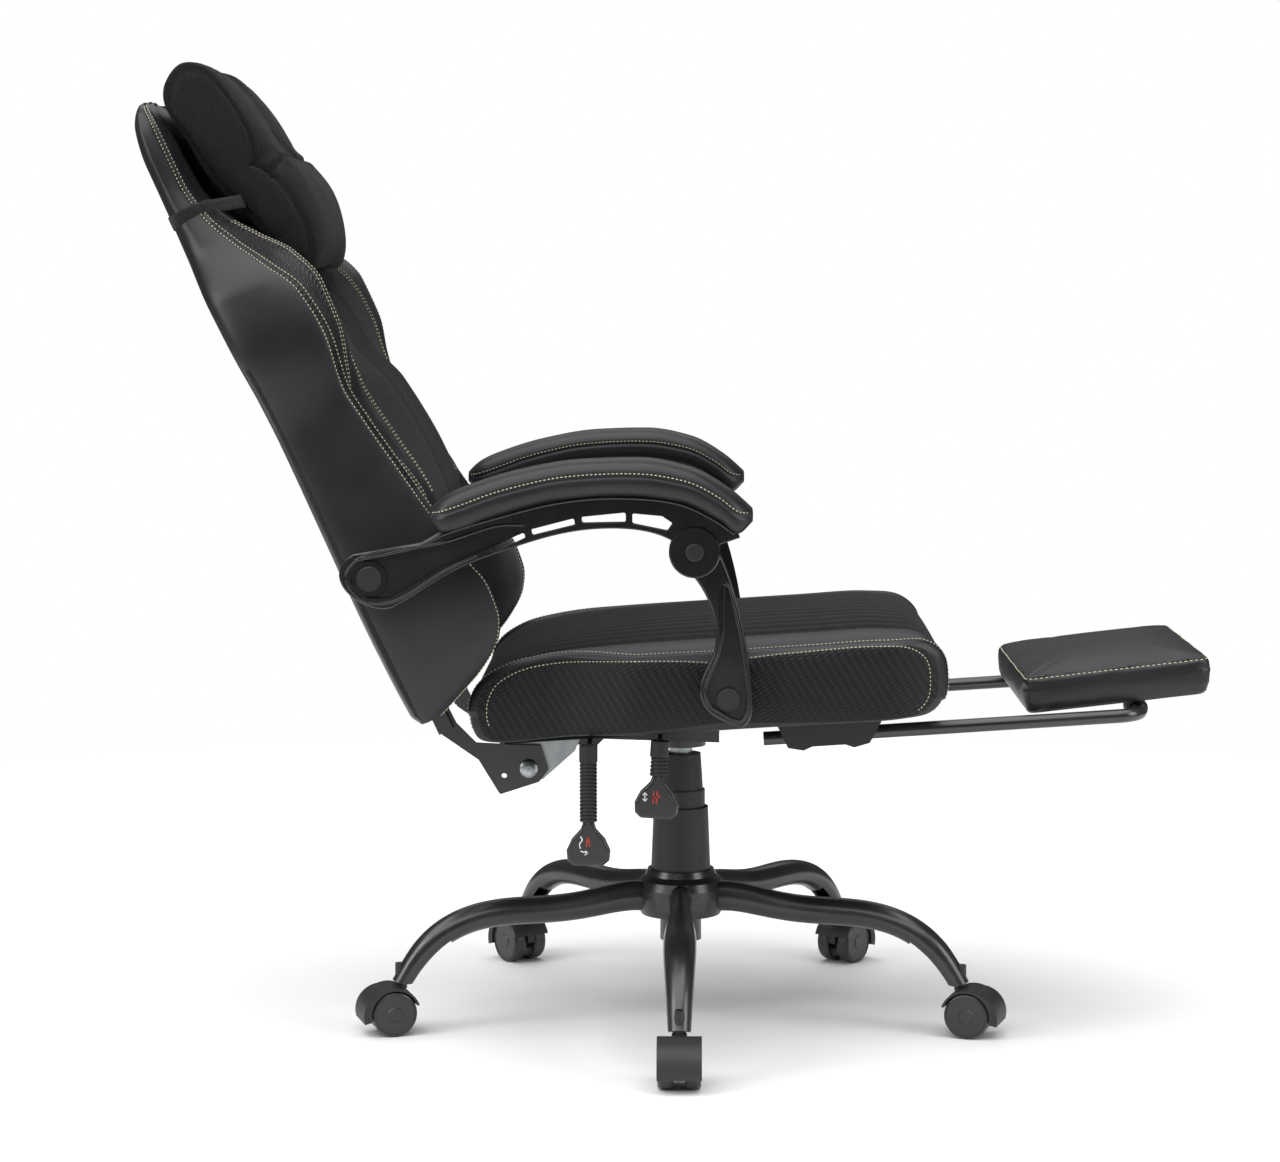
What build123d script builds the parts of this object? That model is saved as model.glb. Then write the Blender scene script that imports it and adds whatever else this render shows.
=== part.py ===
"""Reclining gaming chair with linked armrests and a pull-out footrest.

Frame: +X is the way the sitter faces, +Y is the sitter's left, +Z is up. The origin is on the
floor, on the axis of the gas lift. Millimetres. The chair stands reclined, footrest pulled out.
"""
from build123d import *
import math
import os

# ---- Driving dimensions ----
BASE_RADIUS = 350            # lift axis to caster stem
LEG_ANGLES = [-90, -18, 54, 126, 198]
WHEEL_RADIUS = 27
CASTER_TRAIL = 11            # stem axis to wheel axle
HUB_BOTTOM = 124
HUB_TOP = 179
ROD_RADIUS = 14
CYLINDER_RADIUS = 25

SEAT_TILT = 3.8              # degrees, front edge up
SEAT_BASE_Z = 382.5          # underside of the cushion above the lift axis
SEAT_REAR_X = -240
SEAT_FRONT_X = 300
SEAT_HALF_WIDTH = 268
SEAT_REAR_HALF_WIDTH = 226   # waist between the backrest's wings

BACK_TILT = 25               # degrees behind upright
BACK_HEEL = (-304, 388)      # bottom of the backrest's rear face, X and Z
RECLINE_PIVOT = (-178, 320)
ARM_REAR_PIVOT = (-344, 563)
ARM_FRONT_PIVOT = (16, 593)
STRUT_FOOT_PIVOT = (54, 425)

PLATE_Y = 112                # inner face of the fixed recline plates
PLATE_THICKNESS = 5
ARM_Y = 299                  # inner face of the armrest frames
ARM_THICKNESS = 20
PAD_CENTRE_Y = 309.5
PAD_WIDTH = 73
STRUT_Y = 274                # inner face of the arm supports
STRUT_THICKNESS = 19
OPEN_PIVOT_CLEARANCE = 10    # play around the pin that closes the armrest linkage

TUBE_RADIUS = 8              # footrest tube
TUBE_Y = 175
TUBE_DROP = 25               # tube axis below the cushion's underside
TUBE_REAR_X = 96
TUBE_FRONT_X = 533

LEVER_Y = 248                # levers hang this far to the sitter's right
LEVER_ARM_DROP = 13.3        # clears the footrest's rails, which pass under the lever arms
BOOT_RADIUS = 10

GAP = 0.3                    # running clearance between moving faces


# ---- Helpers ----
def seat_z(x):
    """Height of the cushion's underside at x."""
    return SEAT_BASE_Z + x * math.tan(math.radians(SEAT_TILT))


def back_xz(v, w):
    """Backrest coordinates, v up along its rear face and w forward from it, as X and Z."""
    t = math.radians(BACK_TILT)
    x = BACK_HEEL[0] - v * math.sin(t) + w * math.cos(t)
    z = BACK_HEEL[1] + v * math.cos(t) + w * math.sin(t)
    return (x, z)


def lift_points(points):
    return [Vector(x, 0, z) for x, z in points]


def slab(face, y0, y1):
    """Extrude a face that lies in the XZ plane from y0 to y1."""
    return Pos(0, y0, 0) * extrude(face, amount=y1 - y0, dir=(0, 1, 0))


def outline(points, radius=0.0):
    """A polygon in the XZ plane with all its corners rounded."""
    pts = lift_points(points)
    if radius:
        edges = FilletPolyline(*pts, radius=radius, close=True)
    else:
        edges = Polyline(*pts, close=True)
    return make_face(edges)


def plate(points, y0, y1, radius=0.0):
    return slab(outline(points, radius), y0, y1)


def rod_y(x, z, radius, y0, y1):
    """A cylinder along Y."""
    return Pos(x, (y0 + y1) / 2, z) * Rot(90, 0, 0) * Cylinder(radius, abs(y1 - y0))


def rod_z(radius, z0, z1):
    return Pos(0, 0, (z0 + z1) / 2) * Cylinder(radius, z1 - z0)


def turned(points):
    """Revolve a radius and height outline about the lift axis."""
    return revolve(make_face(Polyline(*lift_points(points), close=True)), axis=Axis.Z)


def turned_y(points):
    """Revolve an outline of radius and distance along +Y about the Y axis."""
    ring = make_face(Polyline(*[Vector(r, y, 0) for r, y in points], close=True))
    return revolve(ring, axis=Axis.Y)


def soften(solid, radius, edges=None):
    """Round edges, with a smaller radius where the full one doesn't fit."""
    for r in (radius, radius * 0.6, radius * 0.3):
        try:
            rounded = fillet(edges or solid.edges(), r)
            if rounded.is_valid:
                return rounded
        except Exception:
            continue
    return solid


def flipped(shape):
    """The left-hand twin of a right-hand piece, and the other way round."""
    return mirror(shape, about=Plane.XZ)


def write(name, shape):
    solids = shape.solids() if hasattr(shape, "solids") else [shape]
    export_step(Compound(children=[s for s in solids]), f"parts/{name}.step")


# ---- Five-legged base and gas lift ----
def hub_blank():
    return turned([(0, HUB_BOTTOM), (48, HUB_BOTTOM), (53, 134), (55, 146), (54.5, 157), (50, 166),
                   (43, 172), (40, HUB_TOP), (0, HUB_TOP)])


def base_hub():
    return hub_blank() - rod_z(CYLINDER_RADIUS + 0.05, 100, 200)


# Radius, height, slope in degrees, and section height and width along a leg
LEG_STATIONS = [(40, 145, 0, 36, 32), (110, 142.5, 2, 35, 27), (190, 138, 1, 33, 36),
                (252, 134, -14, 32, 38), (296, 117, -38, 31, 35), (328, 88, -58, 28, 30),
                (347, 59.5, -68, 25, 26)]


def leg_skin(inset, first=0, sink=0.0):
    """Oval sections of a leg, shrunk by inset and moved towards its inner side by sink."""
    sections = []
    for r, z, pitch, height, width in LEG_STATIONS[first:]:
        t = math.radians(pitch)
        centre = (r + sink * math.sin(t), 0, z - sink * math.cos(t))
        place = Plane(origin=centre, x_dir=(0, 1, 0), z_dir=(math.cos(t), 0, math.sin(t)))
        sections.append(place * Ellipse(width / 2 - inset, height / 2 - inset))
    return loft(sections)


def base_leg(angle):
    """Pressed steel tube, open along the inside of its bend, with a socket for the caster."""
    wall = 2.5
    end_cut = Pos(BASE_RADIUS, 0, 40) * Box(120, 80, 40)
    keep = Pos(190, 0, 140) * Box(290, 60, 100)
    skin = leg_skin(0)
    leg = skin - (leg_skin(wall) & keep) - leg_skin(3, first=4, sink=12)
    socket = (Pos(BASE_RADIUS - 1, 0, 80) * Cylinder(10, 50)) & skin
    bore = Pos(BASE_RADIUS, 0, 70) * Cylinder(5.8, 32)
    return Rot(0, 0, angle) * ((leg + socket) - hub_blank() - end_cut - bore)


def gas_cylinder():
    return rod_z(CYLINDER_RADIUS, 92, 200) - rod_z(ROD_RADIUS + GAP, 90, 201)


def piston_rod():
    return rod_z(ROD_RADIUS, 153, 345)


def cover_ring(outer_bottom, outer_top, z0, z1, wall, lip):
    """A tapered sleeve with an inward lip of radius lip at its top."""
    return turned([(outer_bottom - wall, z0), (outer_bottom, z0), (outer_top, z1), (lip, z1),
                   (lip, z1 - wall), (outer_top - wall, z1 - wall)])


def lower_cover():
    return cover_ring(36, 33, HUB_TOP, 255, 2.2, 29.8)


def middle_cover():
    return cover_ring(29.4, 29.2, 212, 276, 1.6, 27.3)


def upper_cover():
    return turned([(25.4, 242), (26.9, 242), (26.9, 276), (24, 320), (ROD_RADIUS + 0.4, 320),
                   (ROD_RADIUS + 0.4, 318), (22.4, 318), (25.4, 274)])


# ---- Casters ----
def caster_hood():
    """Hood with its centre web and stem, trailing along +X from a stem on the Z axis."""
    ax, az = CASTER_TRAIL, WHEEL_RADIUS
    shell = Rot(0, 0, 0) * (rod_y(ax, az, 31, -25, 25) + rod_y(ax + 8, az - 1, 30, -25, 25)
                            + Pos(ax + 4, 0, az) * Box(8, 50, 60))
    shell = soften(shell, 4, shell.edges().filter_by(GeomType.CIRCLE))
    for side in (-1, 1):
        shell -= rod_y(ax, az, WHEEL_RADIUS + 1.3, side * 5, side * 26)
    skirt = plate([(-40, -10), (70, -10), (70, 12), (50, 17), (ax + 10, 24), (ax - 8, 34),
                   (-40, 40)], -30, 30)
    hood = shell - skirt
    web = rod_y(ax, az, 13, -5, 5) + (rod_y(ax, az, 30, -5, 5) & Pos(ax, 0, 44) * Box(56, 12, 34))
    neck = rod_z(8.5, 54, 59) + rod_z(5.5, 54, 84)
    return hood + web + neck - rod_y(ax, az, 4 + GAP, -10, 10)


def caster_wheels():
    """Two wheels on one axle."""
    wheel = turned_y([(0, 6), (12, 6), (12, 8), (22, 8), (24, 6.4), (26, 7), (27, 9.5), (27, 20.5),
                      (26, 23.2), (24.2, 24.2), (23.6, 23), (9, 23), (8, 24), (0, 24)])
    axle = Rot(90, 0, 0) * Cylinder(4, 13)
    pair = wheel + flipped(wheel) + axle
    return Pos(CASTER_TRAIL, 0, WHEEL_RADIUS) * pair


def at_leg(shape, angle):
    """A caster under the end of a leg, trailing outwards."""
    return Rot(0, 0, angle) * Pos(BASE_RADIUS, 0, 0) * shape


# ---- Seat ----
def seat_top_view():
    """Cushion seen from above: narrow at the rear, between the wings, and full in front."""
    half = [(SEAT_REAR_X, 0), (SEAT_REAR_X, SEAT_REAR_HALF_WIDTH), (-150, SEAT_REAR_HALF_WIDTH),
            (-40, SEAT_HALF_WIDTH), (SEAT_FRONT_X - 12, SEAT_HALF_WIDTH), (SEAT_FRONT_X, 120),
            (SEAT_FRONT_X, 0)]
    other = [(x, -y) for x, y in reversed(half[1:-1])]
    ring = FilletPolyline(*[Vector(x, y) for x, y in half[1:-1] + other], radius=26, close=True)
    return Pos(0, 0, 300) * extrude(make_face(ring), amount=300)


def seat_cushion():
    side = [(-226, seat_z(-226)), (SEAT_REAR_X, seat_z(-240) + 16), (SEAT_REAR_X, 428),
            (-222, 452), (-180, 470), (-98, 482), (23, 492), (143, 499), (240, 502), (278, 495),
            (SEAT_FRONT_X, 462), (SEAT_FRONT_X - 2, 430), (282, 412), (250, seat_z(250))]
    return plate(side, -300, 300, 8) & seat_top_view()


def seat_board():
    top, bottom = -0.2, -10
    pts = [(-203, seat_z(-203) + top), (240, seat_z(240) + top), (240, seat_z(240) + bottom),
           (-203, seat_z(-203) + bottom)]
    return plate(pts, -190, 190)


def mechanism_housing():
    """Pressed steel box that carries the seat on the gas lift."""
    under = -10.2
    pts = [(-146, seat_z(-146) + under), (46, seat_z(46) + under), (46, 341), (-92, 345),
           (-100, 337), (-146, 339)]
    box = plate(pts, -56, 56)
    socket = rod_z(30, 330, 350)
    return box + socket - rod_z(ROD_RADIUS + 0.05, 320, 346)


def hinge_plate():
    """Fixed zinc plate under the seat that carries the recline pivot."""
    px, pz = RECLINE_PIVOT
    pts = [(-206, seat_z(-206) - 10.4), (-114, seat_z(-114) - 10.4), (-124, 340), (px + 16, pz - 14),
           (px - 14, pz - 16), (px - 26, pz + 6)]
    body = plate(pts, PLATE_Y, PLATE_Y + PLATE_THICKNESS, 4)
    return body - rod_y(px, pz, 7 + GAP, PLATE_Y - 1, PLATE_Y + 10)


def recline_arm():
    """Black plate that joins the backrest's frame to the recline pivot."""
    px, pz = RECLINE_PIVOT
    y0 = PLATE_Y + PLATE_THICKNESS + GAP
    pts = [back_xz(-3, 10), back_xz(-3, 30), (-263, 373), (-240, 350), (-200, 348), (-164, 347),
           (px + 23, pz - 2), (px + 12, pz - 16), (-212, 289), (-237, 330), back_xz(-36, 10)]
    body = plate(pts, y0, y0 + 6, 3)
    body -= rod_y(px, pz, 7 + GAP, y0 - 1, y0 + 8)
    return body - rod_y(-207, 311, 3.2, y0 - 1, y0 + 8)


def recline_pins():
    """Pivot bolts through the fixed plates, headed outside the moving arms."""
    px, pz = RECLINE_PIVOT
    y0 = PLATE_Y - 6
    y1 = PLATE_Y + PLATE_THICKNESS + GAP + 6
    head = Pos(px, y1 + GAP, pz) * turned_y([(0, 0), (11, 0), (10.5, 3), (8, 5), (4, 6), (0, 6.2)])
    nut = plate([(px + 11 * math.cos(a), pz + 11 * math.sin(a))
                 for a in [math.radians(60 * i) for i in range(6)]], y0, PLATE_Y)
    pin = nut + rod_y(px, pz, 7, y0, y1 + GAP) + head
    return pin + flipped(pin)


# ---- Levers ----
def lever_arm(x, tilt):
    """Fixed outrigger from the mechanism to the top of a lever's boot."""
    arm = rod_y(x, seat_z(x) - LEVER_ARM_DROP, 3, -56, -LEVER_Y)
    cap = Pos(x, -LEVER_Y, seat_z(x) - 15) * Rot(0, tilt, 0) * Pos(0, 0, -3) * Cylinder(10.5, 18)
    return arm + cap


def boot(x, top, bottom, tilt):
    """Rubber bellows as a plain sleeve, open at its lower end for the lever to slide in."""
    length = top - bottom
    sleeve = Cylinder(BOOT_RADIUS, length) - Cylinder(BOOT_RADIUS - 2, length + 2)
    return Pos(x, -LEVER_Y, top) * Rot(0, tilt, 0) * Pos(0, 0, -length / 2) * sleeve


def paddle(x, top, tilt, neck):
    """Teardrop grip on a round neck, its top edge on z = top."""
    drop = [(-6, 0), (6, 0), (9, -9), (19, -20), (25, -33), (24, -44), (17, -50), (-17, -50),
            (-24, -44), (-25, -33), (-19, -20), (-9, -9)]
    blade = plate(drop, -5, 5, 4)
    blade = soften(blade, 3, blade.faces().sort_by(Axis.Y)[0].edges())
    stem = Pos(0, 0, neck / 2 - 2) * Cylinder(5.5, neck + 4)
    return Pos(x, -LEVER_Y, top) * Rot(0, tilt, 0) * (blade + stem)


# ---- Footrest ----
def footrest_tube():
    """One bent tube: two rails joined by a cross-bar in front."""
    rear = seat_z(TUBE_REAR_X) - TUBE_DROP
    front = seat_z(TUBE_FRONT_X) - TUBE_DROP
    path = FilletPolyline((TUBE_REAR_X, -TUBE_Y, rear), (TUBE_FRONT_X, -TUBE_Y, front),
                          (TUBE_FRONT_X, TUBE_Y, front), (TUBE_REAR_X, TUBE_Y, rear), radius=28)
    start = Plane(origin=(TUBE_REAR_X, -TUBE_Y, rear), z_dir=path.tangent_at(0))
    outer = sweep(start * Circle(TUBE_RADIUS), path=path)
    inner = sweep(start * Circle(TUBE_RADIUS - 1.5), path=path)
    return outer - inner


def footrest_guide():
    """Bracket under the seat that a rail slides through."""
    def under(x, drop):
        return (x, seat_z(x) - drop)
    pts = [under(112, 10.4), under(232, 10.4), under(218, 36), under(200, 40), under(190, 36),
           under(152, 36), under(142, 40), under(124, 36)]
    block = plate(pts, TUBE_Y - 13, TUBE_Y + 13)
    slope = Rot(0, 90 - SEAT_TILT, 0)
    bore = Pos(172, TUBE_Y, seat_z(172) - TUBE_DROP) * slope * Cylinder(TUBE_RADIUS + GAP, 200)
    return block - bore


def footrest_pad():
    pts = [(402, 396), (611, 420), (617, 446), (606, 462), (500, 454), (399, 436), (394, 414)]
    pad = plate(pts, -167, 167, 7)
    channel = Pos(TUBE_FRONT_X, 0, seat_z(TUBE_FRONT_X) - TUBE_DROP)
    return pad - channel * Rot(90, 0, 0) * Cylinder(TUBE_RADIUS + 5, 400)


def footrest_clamp():
    """Plastic saddles that turn on the cross-bar and carry the pad."""
    x, z = TUBE_FRONT_X, seat_z(TUBE_FRONT_X) - TUBE_DROP
    saddles = None
    for y in (-110, 110):
        ring = rod_y(x, z, TUBE_RADIUS + 4.6, y - 14, y + 14)
        ring -= rod_y(x, z, TUBE_RADIUS + GAP, y - 20, y + 20)
        saddles = ring if saddles is None else saddles + ring
    return saddles


# ---- Backrest ----
def back_outline(points, y0, y1, radius=0.0):
    return plate([back_xz(v, w) for v, w in points], y0, y1, radius)


def back_front_view():
    """Backrest seen square on: wings at the hips and shoulders, waist and a narrow head."""
    half = [(0, 250), (60, 270), (130, 276), (230, 265), (350, 256), (455, 274), (520, 262),
            (590, 214), (660, 194), (735, 182), (775, 140)]
    ring = [Vector(y, v) for v, y in half] + [Vector(-y, v) for v, y in reversed(half)]
    t = math.radians(BACK_TILT)
    square_on = Plane(origin=(BACK_HEEL[0], 0, BACK_HEEL[1]), x_dir=(0, 1, 0),
                      z_dir=(math.cos(t), 0, math.sin(t)))
    face = square_on * make_face(FilletPolyline(*ring, radius=18, close=True))
    return extrude(face, amount=260, both=True)


def back_cushion():
    """Plain solid of the upholstered backrest, with a slot for its steel frame."""
    centre = [(0, 2), (0, 30), (60, 34), (115, 50), (172, 100), (225, 136), (300, 130), (380, 112),
              (470, 104), (520, 84), (570, 60), (630, 40), (690, 28), (755, 22), (772, 4),
              (740, -8), (600, -9), (480, -3)]
    wing = [(-4, 4), (-4, 34), (9, 66), (27, 104), (51, 134), (80, 148), (112, 150), (150, 140),
            (213, 125), (336, 103), (376, 98), (445, 107), (498, 100), (544, 74), (600, 38),
            (600, -4), (400, 0)]
    front_view = back_front_view()
    body = (back_outline(centre, -230, 230, 3) & front_view) - back_frame(0.4)
    for y0, y1 in ((-300, -229), (229, 300)):
        body += back_outline(wing, y0, y1, 3) & front_view
    return body


def back_frame(grow=0.0):
    """Steel ladder inside the backrest."""
    bars = None
    for side in (-1, 1):
        y0 = side * (PLATE_Y + PLATE_THICKNESS + 2 * GAP + 6)
        y1 = y0 + side * 8
        low, high = sorted((y0 - side * grow, y1 + side * grow))
        bar = back_outline([(-34 - grow, 8 - grow), (-34 - grow, 26 + grow), (560 + grow, 26 + grow),
                            (560 + grow, 8 - grow)], low, high)
        bars = bar if bars is None else bars + bar
    for v in (280, 545):
        bars += back_outline([(v - grow, 8 - grow), (v - grow, 26 + grow), (v + 15 + grow, 26 + grow),
                              (v + 15 + grow, 8 - grow)], -124, 124)
    return bars


def headrest_pillow():
    pts = [(762, 44), (782, 50), (794, 78), (771, 101), (700, 124), (635, 140), (598, 147),
           (560, 142), (530, 130), (514, 112), (530, 96), (570, 78), (612, 62), (653, 48),
           (720, 38)]
    return back_outline(pts, -142, 142, 4)


def headrest_strap():
    """Elastic band from the pillow's sides around the back of the head section."""
    t = math.radians(BACK_TILT)
    across = Plane(origin=back_point(622), x_dir=(0, 1, 0), z_dir=(-math.sin(t), 0, math.cos(t)))
    half = [(144, -65), (196, -57), (212, -38), (214, 4), (200, 15)]
    route = FilletPolyline(*half, *[(-y, w) for y, w in reversed(half)], radius=5)
    return extrude(across * trace(route, 1.6), amount=16)


def back_point(v):
    x, z = back_xz(v, 0)
    return (x, 0, z)


# ---- Armrests ----
def arm_crest(lift):
    """Line between the armrest's frame and its pad, raised by lift."""
    crest = [(64, 615), (44, 630), (0, 651), (-66, 658), (-132, 653), (-198, 637), (-262, 617)]
    return Spline(*lift_points([(x, z + lift) for x, z in crest]))


def armrest_frame():
    lower = Spline(*lift_points([(-318, 531), (-288, 549), (-250, 572), (-198, 593), (-132, 613),
                                 (-67, 619), (-16, 609), (10, 590)]))
    nose = Polyline(*lift_points([(10, 590), (40, 600), (66, 609), (64, 615)]))
    upper = arm_crest(0)
    shoulder = Polyline(*lift_points([(-262, 617), (-286, 603), (-362, 590)]))
    tail = Spline(*lift_points([(-362, 590), (-377, 562), (-352, 535), (-318, 531)]))
    beam = slab(make_face([lower, nose, upper, shoulder, tail]), ARM_Y, ARM_Y + ARM_THICKNESS)
    beam = chamfer(beam.faces().sort_by(Axis.Y)[-1].edges(), 1.5)
    for slot in WINDOWS:
        beam -= plate(slot, ARM_Y - 1, ARM_Y + ARM_THICKNESS + 1, 2.2)
    well = plate([(-366, 560), (-346, 541), (-322, 541), (-262, 576), (-200, 602), (-150, 618),
                  (-200, 620), (-262, 600), (-350, 583)], ARM_Y + ARM_THICKNESS - 4, ARM_Y + 30, 6)
    bx, bz = ARM_FRONT_PIVOT
    disc = rod_y(bx, bz, 28.5, ARM_Y, ARM_Y + ARM_THICKNESS + 3)
    disc = chamfer(disc.faces().sort_by(Axis.Y)[-1].edges(), 1.5)
    cx, cz = ARM_REAR_PIVOT
    boss = rod_y(cx, cz, 19, ARM_Y, ARM_Y + ARM_THICKNESS)
    bore = rod_y(cx, cz, 6 + GAP, ARM_Y - 5, ARM_Y + ARM_THICKNESS + 5)
    pin = rod_y(bx, bz, 6, STRUT_Y + 1, ARM_Y + 1)
    return (beam - well) + disc + boss - bore + pin


WINDOWS = [
    [(-212, 596), (-172, 615), (-171, 608), (-207, 591)],
    [(-165, 618), (-117, 630.5), (-116, 622.5), (-164, 610.5)],
    [(-109, 632), (-60, 637), (-60, 625.5), (-109, 624.5)],
    [(-53, 636), (-20, 633), (-8, 625), (-14, 616), (-53, 624)],
]


def armrest_pad():
    lift = 0.4
    top = Spline(*lift_points([(-274, 634), (-262, 653), (-233, 667), (-177, 684), (-111, 695),
                               (-44, 697), (11, 687), (55, 663), (80, 640)]))
    front = Polyline(*lift_points([(80, 640), (76, 622), (64, 615 + lift)]))
    rear = Polyline(*lift_points([(-262, 617 + lift), (-274, 634)]))
    y0 = PAD_CENTRE_Y - PAD_WIDTH / 2
    return slab(make_face([top, front, arm_crest(lift), rear]), y0, y0 + PAD_WIDTH)


def armrest_rear_bolt():
    """Shoulder bolt that hinges the armrest on the backrest's side, with its round cap."""
    cx, cz = ARM_REAR_PIVOT
    spacer = rod_y(cx, cz, 15, 278, ARM_Y - GAP)
    shank = rod_y(cx, cz, 6, 285, ARM_Y + ARM_THICKNESS + GAP)
    cap = turned_y([(0, 0), (14, 0), (14, 2.5), (12.5, 4.5), (0, 5)])
    return spacer + shank + Pos(cx, ARM_Y + ARM_THICKNESS + GAP, cz) * cap


def knuckle_cap():
    bx, bz = ARM_FRONT_PIVOT
    cap = turned_y([(0, 0), (10, 0), (10, 1.2), (8.5, 2), (0, 2)])
    return Pos(bx, ARM_Y + ARM_THICKNESS + 3.05, bz) * cap


def arm_support():
    """Curved strut from the seat's side to the armrest's knuckle."""
    left = Spline(*lift_points([(-4, 580), (13, 565), (29, 541), (38, 515), (40, 496), (36, 474),
                                (27, 455), (22, 436), (27, 417), (42, 404), (70, 393)]))
    right = Spline(*lift_points([(70, 393), (78, 402), (80.5, 430), (76, 475), (66, 525),
                                 (52, 570), (38, 600)]))
    top = Polyline(*lift_points([(38, 600), (-4, 580)]))
    y1 = STRUT_Y + STRUT_THICKNESS
    blade = slab(make_face([left, right, top]), STRUT_Y, y1)
    blade = soften(blade, 2.5, blade.faces().sort_by(Axis.Y)[-1].edges())
    hollow_left = Spline(*lift_points([(50, 558), (42, 530), (45, 500), (43, 476), (34, 455),
                                       (29, 436), (33, 421), (46, 410), (66, 401)]))
    hollow_right = Spline(*lift_points([(66, 401), (73, 408), (73.5, 443), (70, 478), (62, 520),
                                        (54, 548), (50, 558)]))
    hollow = slab(make_face([hollow_left, hollow_right]), y1 - 4, y1 + 5)
    bx, bz = ARM_FRONT_PIVOT
    head = rod_y(bx, bz, 24, STRUT_Y, y1)
    fx, fz = STRUT_FOOT_PIVOT
    foot = rod_y(fx, fz, 13.5, STRUT_Y, y1 - 2)
    eye = rod_y(bx, bz, 6 + OPEN_PIVOT_CLEARANCE, STRUT_Y - 1, y1 + 5)
    foot_bore = rod_y(fx, fz, 5 + GAP, STRUT_Y - 1, y1 + 5)
    return (blade + head) - hollow + foot - eye - foot_bore


def strut_foot_bolt():
    fx, fz = STRUT_FOOT_PIVOT
    spacer = rod_y(fx, fz, 12, SEAT_HALF_WIDTH + 0.2, STRUT_Y - GAP)
    shank = rod_y(fx, fz, 5, SEAT_HALF_WIDTH + 1, STRUT_Y + STRUT_THICKNESS - 2 + GAP)
    cap = turned_y([(0, 0), (13, 0), (13, 2), (11.5, 3.6), (0, 4)])
    return spacer + shank + Pos(fx, STRUT_Y + STRUT_THICKNESS - 2 + GAP, fz) * cap


def main():
    os.makedirs("parts", exist_ok=True)
    write("base_hub", base_hub())
    for i, angle in enumerate(LEG_ANGLES):
        write(f"base_leg_{i + 1}", base_leg(angle))
        write(f"caster_{i + 1}_hood", at_leg(caster_hood(), angle))
        write(f"caster_{i + 1}_wheels", at_leg(caster_wheels(), angle))
    write("gas_cylinder", gas_cylinder())
    write("piston_rod", piston_rod())
    write("lower_cover", lower_cover())
    write("middle_cover", middle_cover())
    write("upper_cover", upper_cover())

    write("seat_cushion", seat_cushion())
    write("seat_board", seat_board())
    write("mechanism_housing", mechanism_housing())
    write("hinge_plate_left", hinge_plate())
    write("hinge_plate_right", flipped(hinge_plate()))
    write("recline_pins", recline_pins())

    write("lift_lever_arm", lever_arm(-23, 4))
    write("lift_lever_boot", boot(-23, 353, 342, 4))
    write("lift_lever_paddle", paddle(-24.4, 333, 4, 11))
    write("recline_lever_arm", lever_arm(-104, 0))
    write("recline_lever_boot", boot(-104, 348, 289, 0))
    write("recline_lever_paddle", paddle(-104, 279, 0, 60))

    write("footrest_guide_left", footrest_guide())
    write("footrest_guide_right", flipped(footrest_guide()))
    write("footrest_tube", footrest_tube())
    write("footrest_pad", footrest_pad())
    write("footrest_clamps", footrest_clamp())

    write("back_cushion", back_cushion())
    write("back_frame", back_frame())
    write("recline_arm_left", recline_arm())
    write("recline_arm_right", flipped(recline_arm()))
    write("headrest_pillow", headrest_pillow())
    write("headrest_strap", headrest_strap())

    for side, turn in (("left", lambda s: s), ("right", flipped)):
        write(f"armrest_frame_{side}", turn(armrest_frame()))
        write(f"armrest_pad_{side}", turn(armrest_pad()))
        write(f"armrest_rear_bolt_{side}", turn(armrest_rear_bolt()))
        write(f"knuckle_cap_{side}", turn(knuckle_cap()))
        write(f"arm_support_{side}", turn(arm_support()))
        write(f"strut_foot_bolt_{side}", turn(strut_foot_bolt()))


main()
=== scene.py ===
"""Looks of the reclining gaming chair: upholstery, stitching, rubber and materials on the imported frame.

Metres, in the frame of the CAD part: +X the way the sitter faces, +Y the sitter's left, +Z up.
Upholstery outlines are written in millimetres and turned into metres where they are used.
"""
import bmesh
import bpy
import math
import numpy as np
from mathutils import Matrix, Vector
from mathutils.kdtree import KDTree


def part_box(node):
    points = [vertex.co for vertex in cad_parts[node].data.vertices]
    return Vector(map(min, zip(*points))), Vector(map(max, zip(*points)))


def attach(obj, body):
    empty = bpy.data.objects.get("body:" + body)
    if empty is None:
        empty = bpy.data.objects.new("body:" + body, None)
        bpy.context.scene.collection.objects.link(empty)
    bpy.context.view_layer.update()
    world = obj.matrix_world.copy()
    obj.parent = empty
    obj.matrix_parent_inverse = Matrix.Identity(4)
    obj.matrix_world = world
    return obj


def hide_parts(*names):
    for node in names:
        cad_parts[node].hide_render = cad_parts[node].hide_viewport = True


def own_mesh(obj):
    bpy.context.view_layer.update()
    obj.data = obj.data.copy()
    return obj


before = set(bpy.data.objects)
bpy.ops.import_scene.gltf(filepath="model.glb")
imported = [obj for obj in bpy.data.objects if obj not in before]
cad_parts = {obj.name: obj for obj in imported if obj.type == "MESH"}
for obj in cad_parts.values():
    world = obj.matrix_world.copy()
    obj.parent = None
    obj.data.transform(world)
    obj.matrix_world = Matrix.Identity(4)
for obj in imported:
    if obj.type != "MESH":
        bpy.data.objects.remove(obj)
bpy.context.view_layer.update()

MM = 0.001
SEAT_TILT = math.radians(3.8)
SEAT_BASE_Z = 382.5
BACK_TILT = math.radians(25)
BACK_HEEL = (-304, 388)         # X and Z of the backrest's lower rear edge
WAVE_RADIANS_PER_UNIT = 20      # what Blender's wave texture turns through at a scale of 1


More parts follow.
